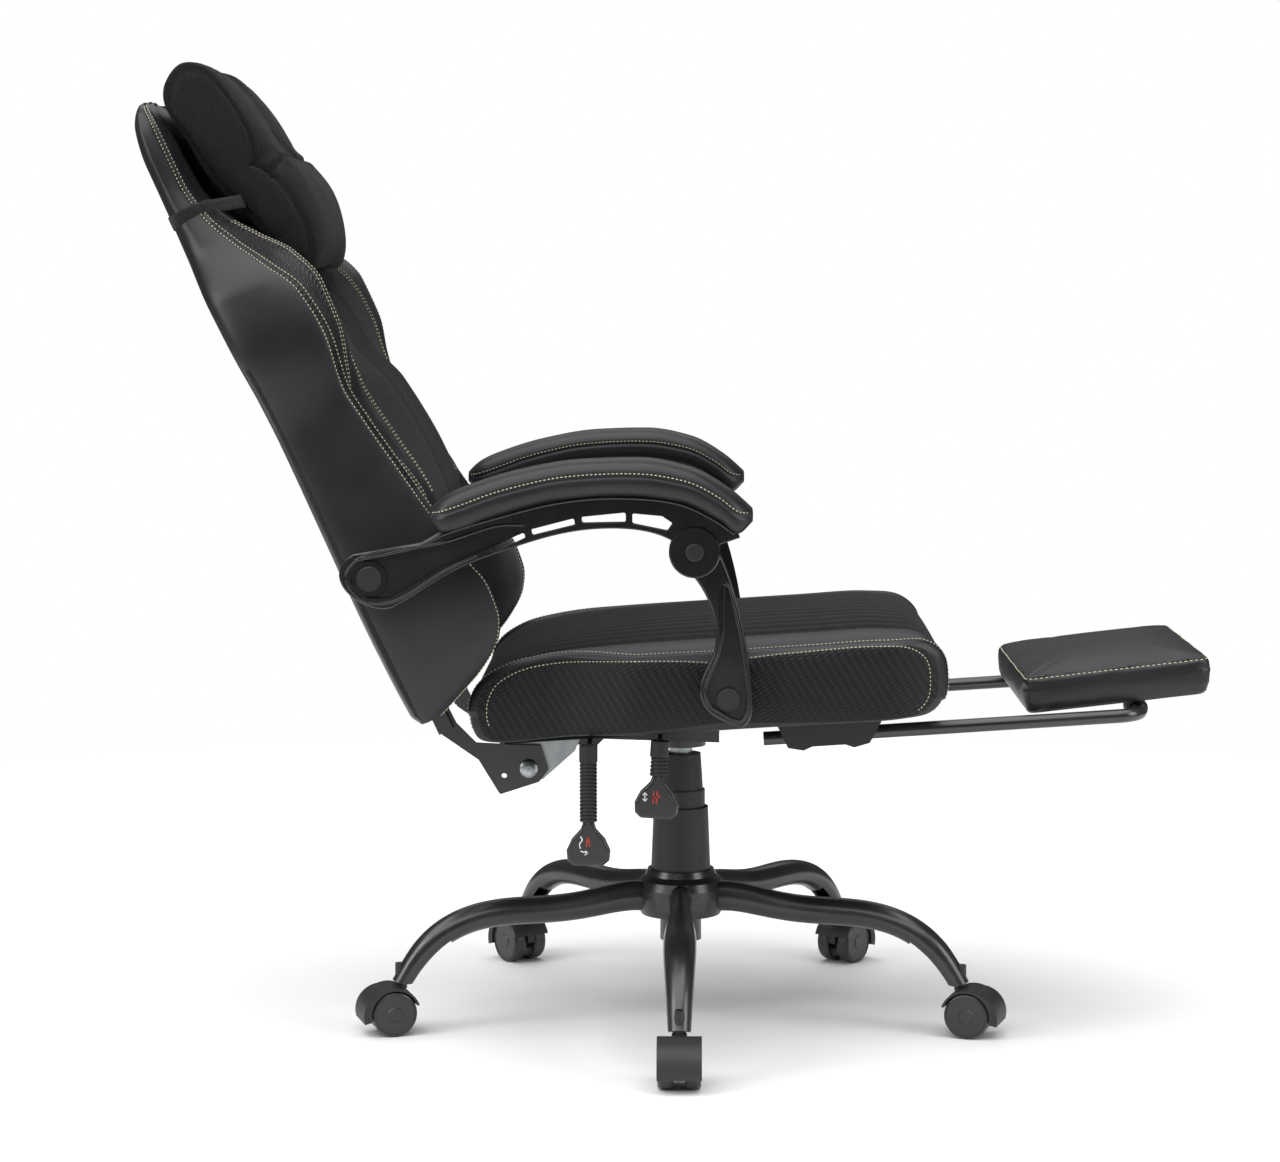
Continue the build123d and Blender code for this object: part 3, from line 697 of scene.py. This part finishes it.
# ---- belts with end panels ----
def belt(outline, half_at, across, steps, rim, bulge, shape=None):
    """Skin of a cushion with flat ends, whose outline runs round in two coordinates.

    half_at gives the half width from the first of them, and shape may bend the outline across.

    Columns run from the middle of the right end over the belt to the middle of the left one.
    Their tags go from -2 at the right middle through -1 to 1 across the belt and on to 2.
    """
    loop = np.asarray(outline, float)
    half = half_at(loop[:, 0])
    away = loop - loop.mean(0)
    inward = -away / np.linalg.norm(away, axis=1)[:, None]
    panel = np.arange(steps) / steps
    tags = np.concatenate([panel - 2, np.linspace(-1, 1, across), 2 - panel[::-1]])
    columns = []
    for tag in tags:
        if abs(tag) <= 1:
            edge = np.maximum(0, (np.abs(tag) * half - (half - rim)) / rim)
            shrink = 1 - np.sqrt(np.maximum(0, 1 - np.minimum(edge, 1) ** 2))
            pts = loop + inward * (shrink * rim)[:, None]
            if shape is not None:
                pts = shape(pts, tag)
            y = tag * half_at(pts[:, 0])
        else:
            t = math.copysign(1, tag)
            f = 2 - abs(tag)
            rimmed = loop + inward * np.broadcast_to(rim, len(loop))[:, None]
            middle = loop.mean(0)
            if shape is not None:
                rimmed = shape(rimmed, t)
                middle = rimmed.mean(0)
            pts = middle + (rimmed - middle) * f
            y = t * (half_at(pts[:, 0]) + bulge * (1 - f ** 3))
        columns.append(np.stack([pts[:, 0], y, pts[:, 1]], 1))
    return np.stack(columns, 1) * MM, tags


def seat_z(x):
    return SEAT_BASE_Z + np.asarray(x) * math.tan(SEAT_TILT)


SEAT_HALF = [(-240, 224), (-150, 226), (-40, 264), (230, 266), (292, 246), (300, 240)]
SEAT_CROWN = [(-240, 0.0), (-190, 0.3), (-100, 0.75), (30, 1.0), (200, 0.95), (265, 0.7), (300, 0.3)]
SEAT_CROWN_HEIGHT = 23
SEAT_FABRIC_HALF = 196
SEAT_CHANNEL_PITCH = 24.5


def seat():
    outline = [(-227, seat_z(-227)), (-237, 380), (-240, 405), (-230, 430), (-201, 449), (-160, 459),
               (-98, 465), (23, 472), (143, 480), (232, 486), (276, 483), (296, 468), (301, 444),
               (298, 420), (284, 405), (252, seat_z(252)), (100, seat_z(100)), (-100, seat_z(-100))]
    spans = [6, 8, 10, 10, 12, 16, 26, 26, 20, 12, 12, 12, 10, 8, 8, 14, 16, 14]
    loop = through(outline, spans, closed=True)
    half = table(loop[:, 0], SEAT_HALF)
    grid, tags = belt(loop, lambda x: table(x, SEAT_HALF), 201, 26, 9, 5)
    belt_col = np.abs(tags) <= 1
    normal = grid_normals(grid)
    y = grid[:, :, 1] / MM
    count = np.cumsum([0] + spans)
    row = np.arange(len(loop))[:, None]
    on_top = (row >= count[2] - 2) & (row <= count[13]) & belt_col
    crown = SEAT_CROWN_HEIGHT * table(grid[:, :, 0] / MM, SEAT_CROWN)
    crown = np.where(on_top, crown * (1 - np.minimum(1, np.abs(y) / 262) ** 2.2), 0)
    grid[:, :, 2] += crown * MM * np.clip(normal[:, :, 2], 0, 1)
    normal = grid_normals(grid)
    from_edge = np.where(belt_col, (1 - np.abs(tags)) * half.mean(), (np.abs(tags) - 1) * 90)
    above_base = np.clip((count[14] + 6 - row) / 8, 0, 1)
    push = -2.4 * bell(from_edge, 3) * above_base
    fabric_gap = np.abs(y) - SEAT_FABRIC_HALF
    push -= np.where(on_top, 2.6 * bell(fabric_gap, 3.2), 0)
    channel = np.abs(np.sin(math.pi * (y / SEAT_CHANNEL_PITCH + 0.5)))
    push += np.where(on_top & (fabric_gap < 0), 4.6 * (channel ** 0.5 - 1), 0)
    border = 3.0 * np.sin(math.pi * np.clip(fabric_gap / 66, 0, 1))
    push += np.where(on_top & (fabric_gap > 0), border, 0)
    grid = grid + normal * push[:, :, None] * MM
    y_cols = grid[:, :, 1] / MM

    def choose(i, j):
        mat = np.zeros(len(i), int)
        beside = np.minimum(j + 1, len(tags) - 1)
        side = (np.abs(tags[j]) > 1) | (np.abs(tags[beside]) > 1)
        mat[side] = 1
        top = (i >= count[2] - 2) & (i < count[13])
        mid = (y_cols[i, j] + y_cols[i, beside]) / 2
        mat[top & ~side & (np.abs(mid) < SEAT_FABRIC_HALF)] = 2
        return mat

    pad = grid_object("seat_upholstery", grid, [LEATHER, CARBON, FABRIC], choose, boxed=0.0)
    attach(pad, "seat")
    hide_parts("seat_cushion")
    normal = grid_normals(grid)
    columns = np.arange(len(tags))
    first = columns[belt_col][0]
    last = columns[belt_col][-1]
    rows = list(range(count[1], count[14]))
    for side, a, b in (("right", first - 1, first + 4), ("left", last + 1, last - 4)):
        stitches(f"seat_stitch_side_{side}", grid[rows, a], normal[rows, a], "seat")
        stitches(f"seat_stitch_top_{side}", grid[rows, b], normal[rows, b], "seat")


# ---- armrest pads ----
PAD_TOP = [(-276, 641), (-262, 654), (-233, 667), (-177, 684), (-111, 695), (-44, 697), (11, 687),
           (55, 663), (80, 641)]
PAD_BOTTOM = [(-276, 628), (-262, 617.6), (-198, 637.6), (-132, 653.6), (-66, 658.6), (0, 651.6),
              (44, 630.6), (64, 616), (80, 628)]
PAD_REAR_X, PAD_FRONT_X = -276, 80
PAD_CENTRE_Y = 309.5
PAD_HALF_WIDTH = 36.5
PAD_SPANS = [6, 6, 8, 8, 10, 10]


def armrest_pad(side):
    """Padded top: a crowned cover sewn to a lower band along the sides."""
    sign = 1 if side == "left" else -1
    loops = []
    xs = np.concatenate([np.linspace(PAD_REAR_X, -262, 9, endpoint=False),
                         np.linspace(-262, 60, 110, endpoint=False),
                         np.linspace(60, PAD_FRONT_X, 12)])
    for x in xs:
        top, low = table(x, PAD_TOP), table(x, PAD_BOTTOM)
        thick = top - low
        end = min(1, (x - PAD_REAR_X) / 26 + 0.05, (PAD_FRONT_X - x) / 30 + 0.05)
        wide = PAD_HALF_WIDTH * (1 - (1 - end) ** 2.4 * 0.45)
        half = through([(0, low), (wide - 7, low), (wide - 1, low + thick * 0.16),
                        (wide, low + thick * 0.52), (wide - 5, low + thick * 0.82),
                        (wide * 0.55, top - thick * 0.03), (0, top)], PAD_SPANS)
        ring = there_and_back(half)
        loops.append(np.array([[x, sign * PAD_CENTRE_Y + y, z] for y, z in ring]) * MM)
    grid = np.stack(capped(loops, steps=4), 1)
    normal = grid_normals(grid)
    n = grid.shape[0]
    seam = int(sum(PAD_SPANS[:3]))
    arc = metres_along(np.vstack([grid, grid[:1]]), 0)[:-1] / MM
    push = np.zeros(grid.shape[:2])
    for k in (seam, n - seam):
        push -= 1.6 * bell(arc - arc[k], 2.0)
    push[:, :5] = 0
    push[:, -5:] = 0
    grid = grid + normal * push[:, :, None] * MM
    pad = grid_object(f"armrest_top_{side}", grid, [LEATHER], one_material)
    body = f"armrest_{side}"
    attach(pad, body)
    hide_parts(f"armrest_pad_{side}")
    normal = grid_normals(grid)
    live = list(range(6, grid.shape[1] - 6))
    base = [k for k in range(n) if min(k, n - k) <= PAD_SPANS[0]]
    carry = inflate(pad, np.vstack([grid[seam, live], grid[n - seam, live],
                                    grid[base].reshape(-1, 3)]), 4, 4)
    for label, k, way in (("outer", seam, 1), ("inner", n - seam, -1)):
        line, facing = row_beside(grid, normal, k, live, 3.6 * way)
        stitches(f"armrest_stitch_{label}_{side}", carry(line), facing, body)


# ---- footrest pad ----
FOOT_X, FOOT_SEAM_Z = 504, 446
FOOT_CROWN = 9
FOOT_SLOPE = math.tan(math.radians(6.8))
# From the base up: half depth, half width, corner radius, then Z and X of the middle.
FOOT_LAYERS = [(94, 154, 9, 403, 505), (101, 160, 10, 403.5, 505), (104, 163, 11, 406, 505),
               (106.5, 165.5, 12, 416, 505), (107.5, 166.5, 12, 430, 505), (107, 166, 11, 440, 504),
               (105, 164, 10, FOOT_SEAM_Z, FOOT_X)]


def rounded_rectangle(hx, hy, radius, cz, cx, steps=40):
    """Sloping rectangle with round corners, as one ring of points in metres."""
    corners = []
    for qx, qy, start in ((1, 1, 0), (-1, 1, 90), (-1, -1, 180), (1, -1, 270)):
        for degrees in np.linspace(start, start + 90, 12):
            angle = math.radians(degrees)
            corners.append((qx * (hx - radius) + radius * math.cos(angle),
                            qy * (hy - radius) + radius * math.sin(angle)))
    ring = through(np.array(corners), [1 if k % 12 != 11 else steps for k in range(48)], closed=True)
    return np.stack([cx + ring[:, 0], ring[:, 1], cz + ring[:, 0] * FOOT_SLOPE], 1) * MM


def footrest_pad():
    """Boxed pad: a crowned top panel sewn to four side panels."""
    loops = []
    for lower, upper in zip(FOOT_LAYERS, FOOT_LAYERS[1:]):
        for s in range(6):
            mixed = [a + (b - a) * s / 6 for a, b in zip(lower, upper)]
            loops.append(rounded_rectangle(*mixed))
    loops.append(rounded_rectangle(*FOOT_LAYERS[-1]))
    seam_row = len(loops) - 1
    top = loops[-1]
    middle = np.array([FOOT_X, 0, FOOT_SEAM_Z]) * MM
    steps = 40
    for s in range(1, steps + 1):
        f = 1 - s / steps
        ring = middle + (top - middle) * f
        ring[:, 2] += FOOT_CROWN * MM * (1 - f ** 3.2)
        loops.append(ring)
    low = loops[0]
    base = [low.mean(0) + (low - low.mean(0)) * (s / 8) for s in range(8)]
    loops = base + loops
    seam_row += 8
    grid = np.stack(loops, 1)
    normal = grid_normals(grid)
    run = metres_along(grid, 1) / MM
    from_seam = run - run[:, seam_row:seam_row + 1]
    around = metres_along(np.vstack([grid, grid[:1]]), 0)[:-1] / MM
    puckers = np.sin(around * 0.19) * 0.25 + np.sin(around * 0.071 + 1.2) * 0.4
    push = puckers * bell(from_seam, 14) - 2.0 * bell(from_seam, 2.4)
    grid = grid + normal * push[:, :, None] * MM
    pad = grid_object("footrest_cushion", grid, [LEATHER], one_material)
    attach(pad, "footrest_pad")
    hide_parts("footrest_pad")
    normal = grid_normals(grid)
    ring = list(range(grid.shape[0])) + [0]
    carry = inflate(pad, np.vstack([grid[:, seam_row], grid[:, 8], grid[:, 12]]), 5, 6)
    stitches("footrest_stitch", carry(grid[ring, seam_row - 2]), normal[ring, seam_row - 2],
             "footrest_pad", pitch=0.0062, length=0.0040)


# ---- head pillow ----
PILLOW_RIM = [(520, 12), (560, 34), (600, 44), (640, 44), (720, 36), (765, 22), (792, 8)]
PILLOW_HALF_WIDTH = 140.0
PILLOW_SEAM_V = 652             # where the two lobes meet the neck roll


def head_pillow():
    """Winged pillow: two upper lobes over a full-width neck roll, with a boxed panel at each end."""
    outline = [(520, 106), (532, 92), (575, 76), (612, 62), (653, 48), (720, 40), (758, 34),
               (780, 44), (794, 72), (778, 98), (740, 113), (700, 122), (668, 127), (645, 138),
               (605, 147), (565, 143), (534, 131), (519, 117)]
    spans = [6, 8, 8, 8, 12, 10, 8, 8, 8, 10, 12, 12, 10, 12, 12, 12, 8, 6]
    loop = through(outline, spans, closed=True)
    front = step_up(loop[:, 1], 84, 7)
    rim = 9 + (table(loop[:, 0], PILLOW_RIM) - 9) * front

    def shape(pts, t):
        """The lobes stand off a valley between them, and the front falls away to the ends."""
        v, w = pts[:, 0], pts[:, 1]
        face = step_up(w, 85, 6)
        lobe = step_up(v, PILLOW_SEAM_V, 5)
        valley = 22 * lobe * bell(t, 0.2)
        ends = 6 * (1 - lobe) * abs(t) ** 4
        return np.stack([v, w - (valley + ends) * face], 1)

    grid, tags = belt(loop, lambda v: np.full(len(v), PILLOW_HALF_WIDTH), 161, 22, rim, 6, shape)
    v, y, w = grid[:, :, 0] / MM, grid[:, :, 1] / MM, grid[:, :, 2] / MM
    x3 = BACK_HEEL[0] - v * math.sin(BACK_TILT) + w * math.cos(BACK_TILT)
    z3 = BACK_HEEL[1] + v * math.cos(BACK_TILT) + w * math.sin(BACK_TILT)
    grid = np.stack([x3, y, z3], 2) * MM
    normal = grid_normals(grid)
    belt_col = np.abs(tags) <= 1
    edge = np.where(belt_col, (1 - np.abs(tags)) * PILLOW_HALF_WIDTH, (np.abs(tags) - 1) * 55)
    push = -4.0 * bell(edge, 2.6)[None, :] * np.ones(grid.shape[:2])
    front = (w > 86) & belt_col
    cross = v - PILLOW_SEAM_V + 14 * np.clip((np.abs(y) - 95) / 45, 0, 1) ** 2
    push -= np.where(front, 4.5 * bell(cross, 3.6), 0)
    push -= np.where(front & (v > 655), 3.0 * bell(np.abs(y) - 36, 3), 0)
    low_end = (~belt_col)[None, :] & (v < 600) & (w < 112)
    push -= np.where(low_end, 2.2 * bell((v - 572) - (w - 100) * 0.5, 2.4), 0)
    lumps = np.sin(y * 0.045 + v * 0.02) * np.sin(v * 0.037 + 1.3) * 1.2
    pulls = 0.7 * np.sin(y * 0.33) * bell(cross, 14) * front
    grid = grid + normal * (push + lumps + pulls)[:, :, None] * MM
    pillow = grid_object("head_pillow", grid, [PILLOW], one_material,
                         boxed=BACK_TILT)
    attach(pillow, "backrest")
    seams = grid[:, np.abs(np.abs(tags) - 1) < 0.03].reshape(-1, 3)
    crossing = grid[front & (np.abs(cross) < 4)]
    inflate(pillow, np.vstack([seams, crossing]), 5, 7)
    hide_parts("headrest_pillow")


# ---- moulded ribs on the arms ----
FRAME_FACE_Y = 319              # outer face of the armrest frame
STRUT_FACE_Y = 293              # outer face of the arm support
FRAME_RIM = [(-360, 583), (-322, 591), (-286, 600), (-262, 612), (-198, 632), (-132, 648),
             (-66, 653), (0, 646), (42, 626), (60, 613)]
FORK_RIM = [(-172, 623), (-202, 622), (-264, 603), (-352, 587), (-370, 564), (-350, 538),
            (-320, 537), (-258, 573), (-225, 589)]
STRUT_RIM = [(50, 556), (49, 528), (48, 500), (42, 474), (33, 452), (28, 435), (32, 420),
             (46, 410), (67, 400), (74, 408), (76, 430), (71, 475), (61, 525), (54, 552)]


def moulded_rib(name, body, face_y, points, closed, radius):
    """A half-round raised line on an arm's outer face, as moulded on the real one."""
    line = through(points, 10, closed=closed)
    away = np.gradient(line, axis=0)
    if closed:
        away = (np.roll(line, -1, 0) - np.roll(line, 1, 0)) / 2
    side = np.stack([-away[:, 1], away[:, 0]], 1)
    side /= np.linalg.norm(side, axis=1, keepdims=True)
    sign = 1 if name.endswith("left") else -1
    turns = np.linspace(0, 2 * math.pi, 14, endpoint=False)
    loops = []
    for p, q in zip(line, side):
        loops.append(np.array([[p[0] + q[0] * radius * math.cos(t),
                                sign * (face_y - 0.4 + radius * 0.8 * math.sin(t)),
                                p[1] + q[1] * radius * math.cos(t)] for t in turns]) * MM)
    grid = np.stack(loops + loops[:1] if closed else capped(loops, steps=3), 1)
    obj = grid_object(name, grid, [SATIN], one_material)
    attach(obj, body)


def arm_relief():
    for side in ("left", "right"):
        moulded_rib(f"frame_rim_{side}", f"armrest_{side}", FRAME_FACE_Y, FRAME_RIM, False, 2.0)
        moulded_rib(f"fork_rim_{side}", f"armrest_{side}", FRAME_FACE_Y, FORK_RIM, False, 1.8)
        moulded_rib(f"strut_rim_{side}", f"arm_support_{side}", STRUT_FACE_Y, STRUT_RIM, True, 1.8)


# ---- rubber boots ----
LEVER_Y = -248
BOOT_RIB_PITCH = 4.2


def boot(lever, x, top, bottom, tilt):
    """Corrugated rubber sleeve round a lever, ribbed along its length and leaning by tilt degrees."""
    ribs = round((top - bottom) / BOOT_RIB_PITCH)
    zs = np.linspace(bottom, top, ribs * 8 + 1)
    t = np.linspace(0, 2 * math.pi, 40, endpoint=False)
    loops = []
    for z in zs:
        phase = (z - bottom) / (top - bottom) * ribs
        r = 8.2 + 2.0 * abs(math.sin(math.pi * phase)) ** 0.6
        shift = (z - top) * math.tan(math.radians(tilt))
        loops.append(np.stack([x + shift + r * np.cos(t), LEVER_Y + r * np.sin(t),
                               np.full(len(t), z)], 1) * MM)
    grid = np.stack(capped(loops, steps=2), 1)
    obj = grid_object(f"{lever}_bellows", grid, [RUBBER], one_material)
    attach(obj, "seat")
    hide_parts(f"{lever}_lever_boot")
    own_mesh(obj)


# ---- printed marks on the paddles ----
def printed(name, cad, strokes, ink, body):
    """Thin ink strokes on a paddle's near face: each is (x, z) points from its box's middle."""
    low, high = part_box(cad)
    mid = ((low[0] + high[0]) / 2, low[2])
    verts, faces = [], []
    for points, width in strokes:
        line = through([(mid[0] + x * MM, mid[1] + z * MM) for x, z in points], 8)
        away = np.gradient(line, axis=0)
        side = np.stack([-away[:, 1], away[:, 0]], 1)
        side = side / np.linalg.norm(side, axis=1, keepdims=True) * width * MM / 2
        base = len(verts)
        depths = (low[1] - 0.00005, low[1] + 0.0004)
        for p, q in zip(line, side):
            for y in depths:
                verts.append((p[0] - q[0], y, p[1] - q[1]))
                verts.append((p[0] + q[0], y, p[1] + q[1]))
        for k in range(len(line) - 1):
            a = base + 4 * k
            for c, d in ((0, 1), (1, 3), (3, 2), (2, 0)):
                faces.append((a + c, a + d, a + 4 + d, a + 4 + c))
        end = base + 4 * (len(line) - 1)
        faces += [(base, base + 2, base + 3, base + 1), (end, end + 1, end + 3, end + 2)]
    mesh = bpy.data.meshes.new(name)
    mesh.from_pydata([tuple(map(float, v)) for v in verts], [], faces)
    mesh.materials.append(ink)
    obj = linked(name, mesh)
    weld(obj)
    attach(obj, body)


def paddle_marks():
    """Generic signs: an up-and-down arrow for the lift, a leaning arrow for the recline."""
    white, red = print_ink("white_ink", (0.7, 0.72, 0.72)), print_ink("red_ink", (0.35, 0.03, 0.02))
    lift = [([(-13, 22), (-13, 31)], 1.1), ([(-15.5, 28.5), (-13, 31.5)], 1.0),
            ([(-10.5, 28.5), (-13, 31.5)], 1.0), ([(-15.5, 24.5), (-13, 21.5)], 1.0),
            ([(-10.5, 24.5), (-13, 21.5)], 1.0)]
    recline = [([(-9, 34), (-7, 30), (-10, 25), (-9, 20)], 1.3), ([(-9, 17), (-1, 15)], 1.2),
               ([(-3.5, 17.6), (-0.5, 15)], 1.0), ([(-4.2, 12.6), (-0.5, 15)], 1.0)]
    seat_mark = [([(-4, 19), (-3, 33)], 1.6), ([(0, 18), (1, 33)], 1.8), ([(-5, 25), (5, 27)], 1.8)]
    printed("lift_arrow", "lift_lever_paddle", lift, white, "lift_lever")
    printed("lift_seat_mark", "lift_lever_paddle", seat_mark, red, "lift_lever")
    printed("recline_arrow", "recline_lever_paddle", recline, white, "recline_lever")
    printed("recline_seat_mark", "recline_lever_paddle",
            [([(-2, 22), (-1, 33)], 2.0), ([(2, 22), (0, 33)], 1.6)], red, "recline_lever")


# ---- CAD materials ----
def dress_cad():
    rules = [("base_", STEEL), ("gas_cylinder", STEEL), ("piston_rod", ZINC), ("lower_cover", MATTE),
             ("middle_cover", MATTE), ("upper_cover", MATTE), ("seat_board", UNDERSIDE),
             ("hinge_plate", ZINC), ("recline_pins", ZINC), ("recline_arm", STEEL),
             ("mechanism", STEEL), ("lift_lever_arm", RUBBER), ("recline_lever_arm", RUBBER),
             ("lift_lever_paddle", SATIN), ("recline_lever_paddle", SATIN),
             ("footrest_tube", STEEL), ("footrest_guide", MATTE), ("footrest_clamps", MATTE),
             ("armrest_frame", SATIN), ("arm_support", SATIN), ("knuckle", CAP),
             ("armrest_rear_bolt", CAP), ("strut_foot_bolt", CAP), ("back_frame", STEEL)]
    for name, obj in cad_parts.items():
        mat = None
        for start, choice in rules:
            if name.startswith(start):
                mat = choice
        if name.startswith("caster"):
            mat = MATTE if name.endswith("hood") else GLOSS
        if mat:
            obj.data.materials.clear()
            obj.data.materials.append(mat)


# ---- studio ----
SUN_STRENGTH = 3.5
AMBIENT_STRENGTH = 0.10


def white_backdrop():
    """White world where the camera sees it, and a dim one for everything else."""
    world = bpy.data.worlds.new("world")
    bpy.context.scene.world = world
    world.use_nodes = True
    tree = world.node_tree
    back = tree.nodes["Background"]
    seen = tree.nodes.new("ShaderNodeLightPath")
    level = tree.nodes.new("ShaderNodeMapRange")
    level.inputs["To Min"].default_value = AMBIENT_STRENGTH
    level.inputs["To Max"].default_value = 1.0
    tree.links.new(seen.outputs["Is Camera Ray"], level.inputs["Value"])
    tree.links.new(level.outputs["Result"], back.inputs["Strength"])
    back.inputs["Color"].default_value = (1, 1, 1, 1)


def lamp(name, place, aim, size_m, power):
    data = bpy.data.lights.new(name, "AREA")
    data.shape = "RECTANGLE"
    data.size, data.size_y = size_m
    data.energy = power
    obj = linked(name, data)
    obj.location = place
    obj.rotation_euler = (Vector(aim) - Vector(place)).to_track_quat("-Z", "Y").to_euler()


def studio():
    bpy.context.scene.view_settings.view_transform = "Standard"
    bpy.ops.mesh.primitive_circle_add(vertices=96, radius=2.3, fill_type="NGON")
    floor = bpy.context.object
    floor.name = "floor"
    floor.data.materials.append(material("floor_white", (0.93, 0.93, 0.93), 0.7, specular=0.1))
    white_backdrop()
    data = bpy.data.lights.new("overhead", "SUN")
    data.energy = SUN_STRENGTH
    data.angle = math.radians(80)
    sun = linked("overhead", data)
    sun.rotation_euler = (math.radians(12), math.radians(-8), 0)
    lamp("left_box", (-3.2, -1.8, 1.9), (-0.1, 0, 0.6), (1.4, 2.2), 60)
    lamp("right_box", (3.0, -1.6, 1.7), (0.1, 0, 0.5), (1.4, 2.2), 50)
    lamp("rear_box", (0.0, 3.0, 2.6), (0, 0, 0.6), (3.0, 1.2), 12)


CAMERA_PLACE = (0.01418, -3.8435, 0.9186)
CAMERA_DOWN = math.radians(5.79)
CAMERA_TURN = math.radians(0.95)
LENS_MM = 90.196875
SENSOR_MM = 36


def camera():
    """Long lens on the sitter's right side, looking slightly down."""
    data = bpy.data.cameras.new("camera")
    data.sensor_width = SENSOR_MM
    data.lens = LENS_MM
    obj = linked("camera", data)
    obj.location = CAMERA_PLACE
    obj.rotation_euler = (math.pi / 2 - CAMERA_DOWN, 0, CAMERA_TURN)
    bpy.context.scene.camera = obj


camera()
studio()
dress_cad()
backrest()
seat()
armrest_pad("left")
armrest_pad("right")
footrest_pad()
head_pillow()
boot("lift", -23, 354, 332, 4)
boot("recline", -104, 350, 279, 0)
paddle_marks()
arm_relief()
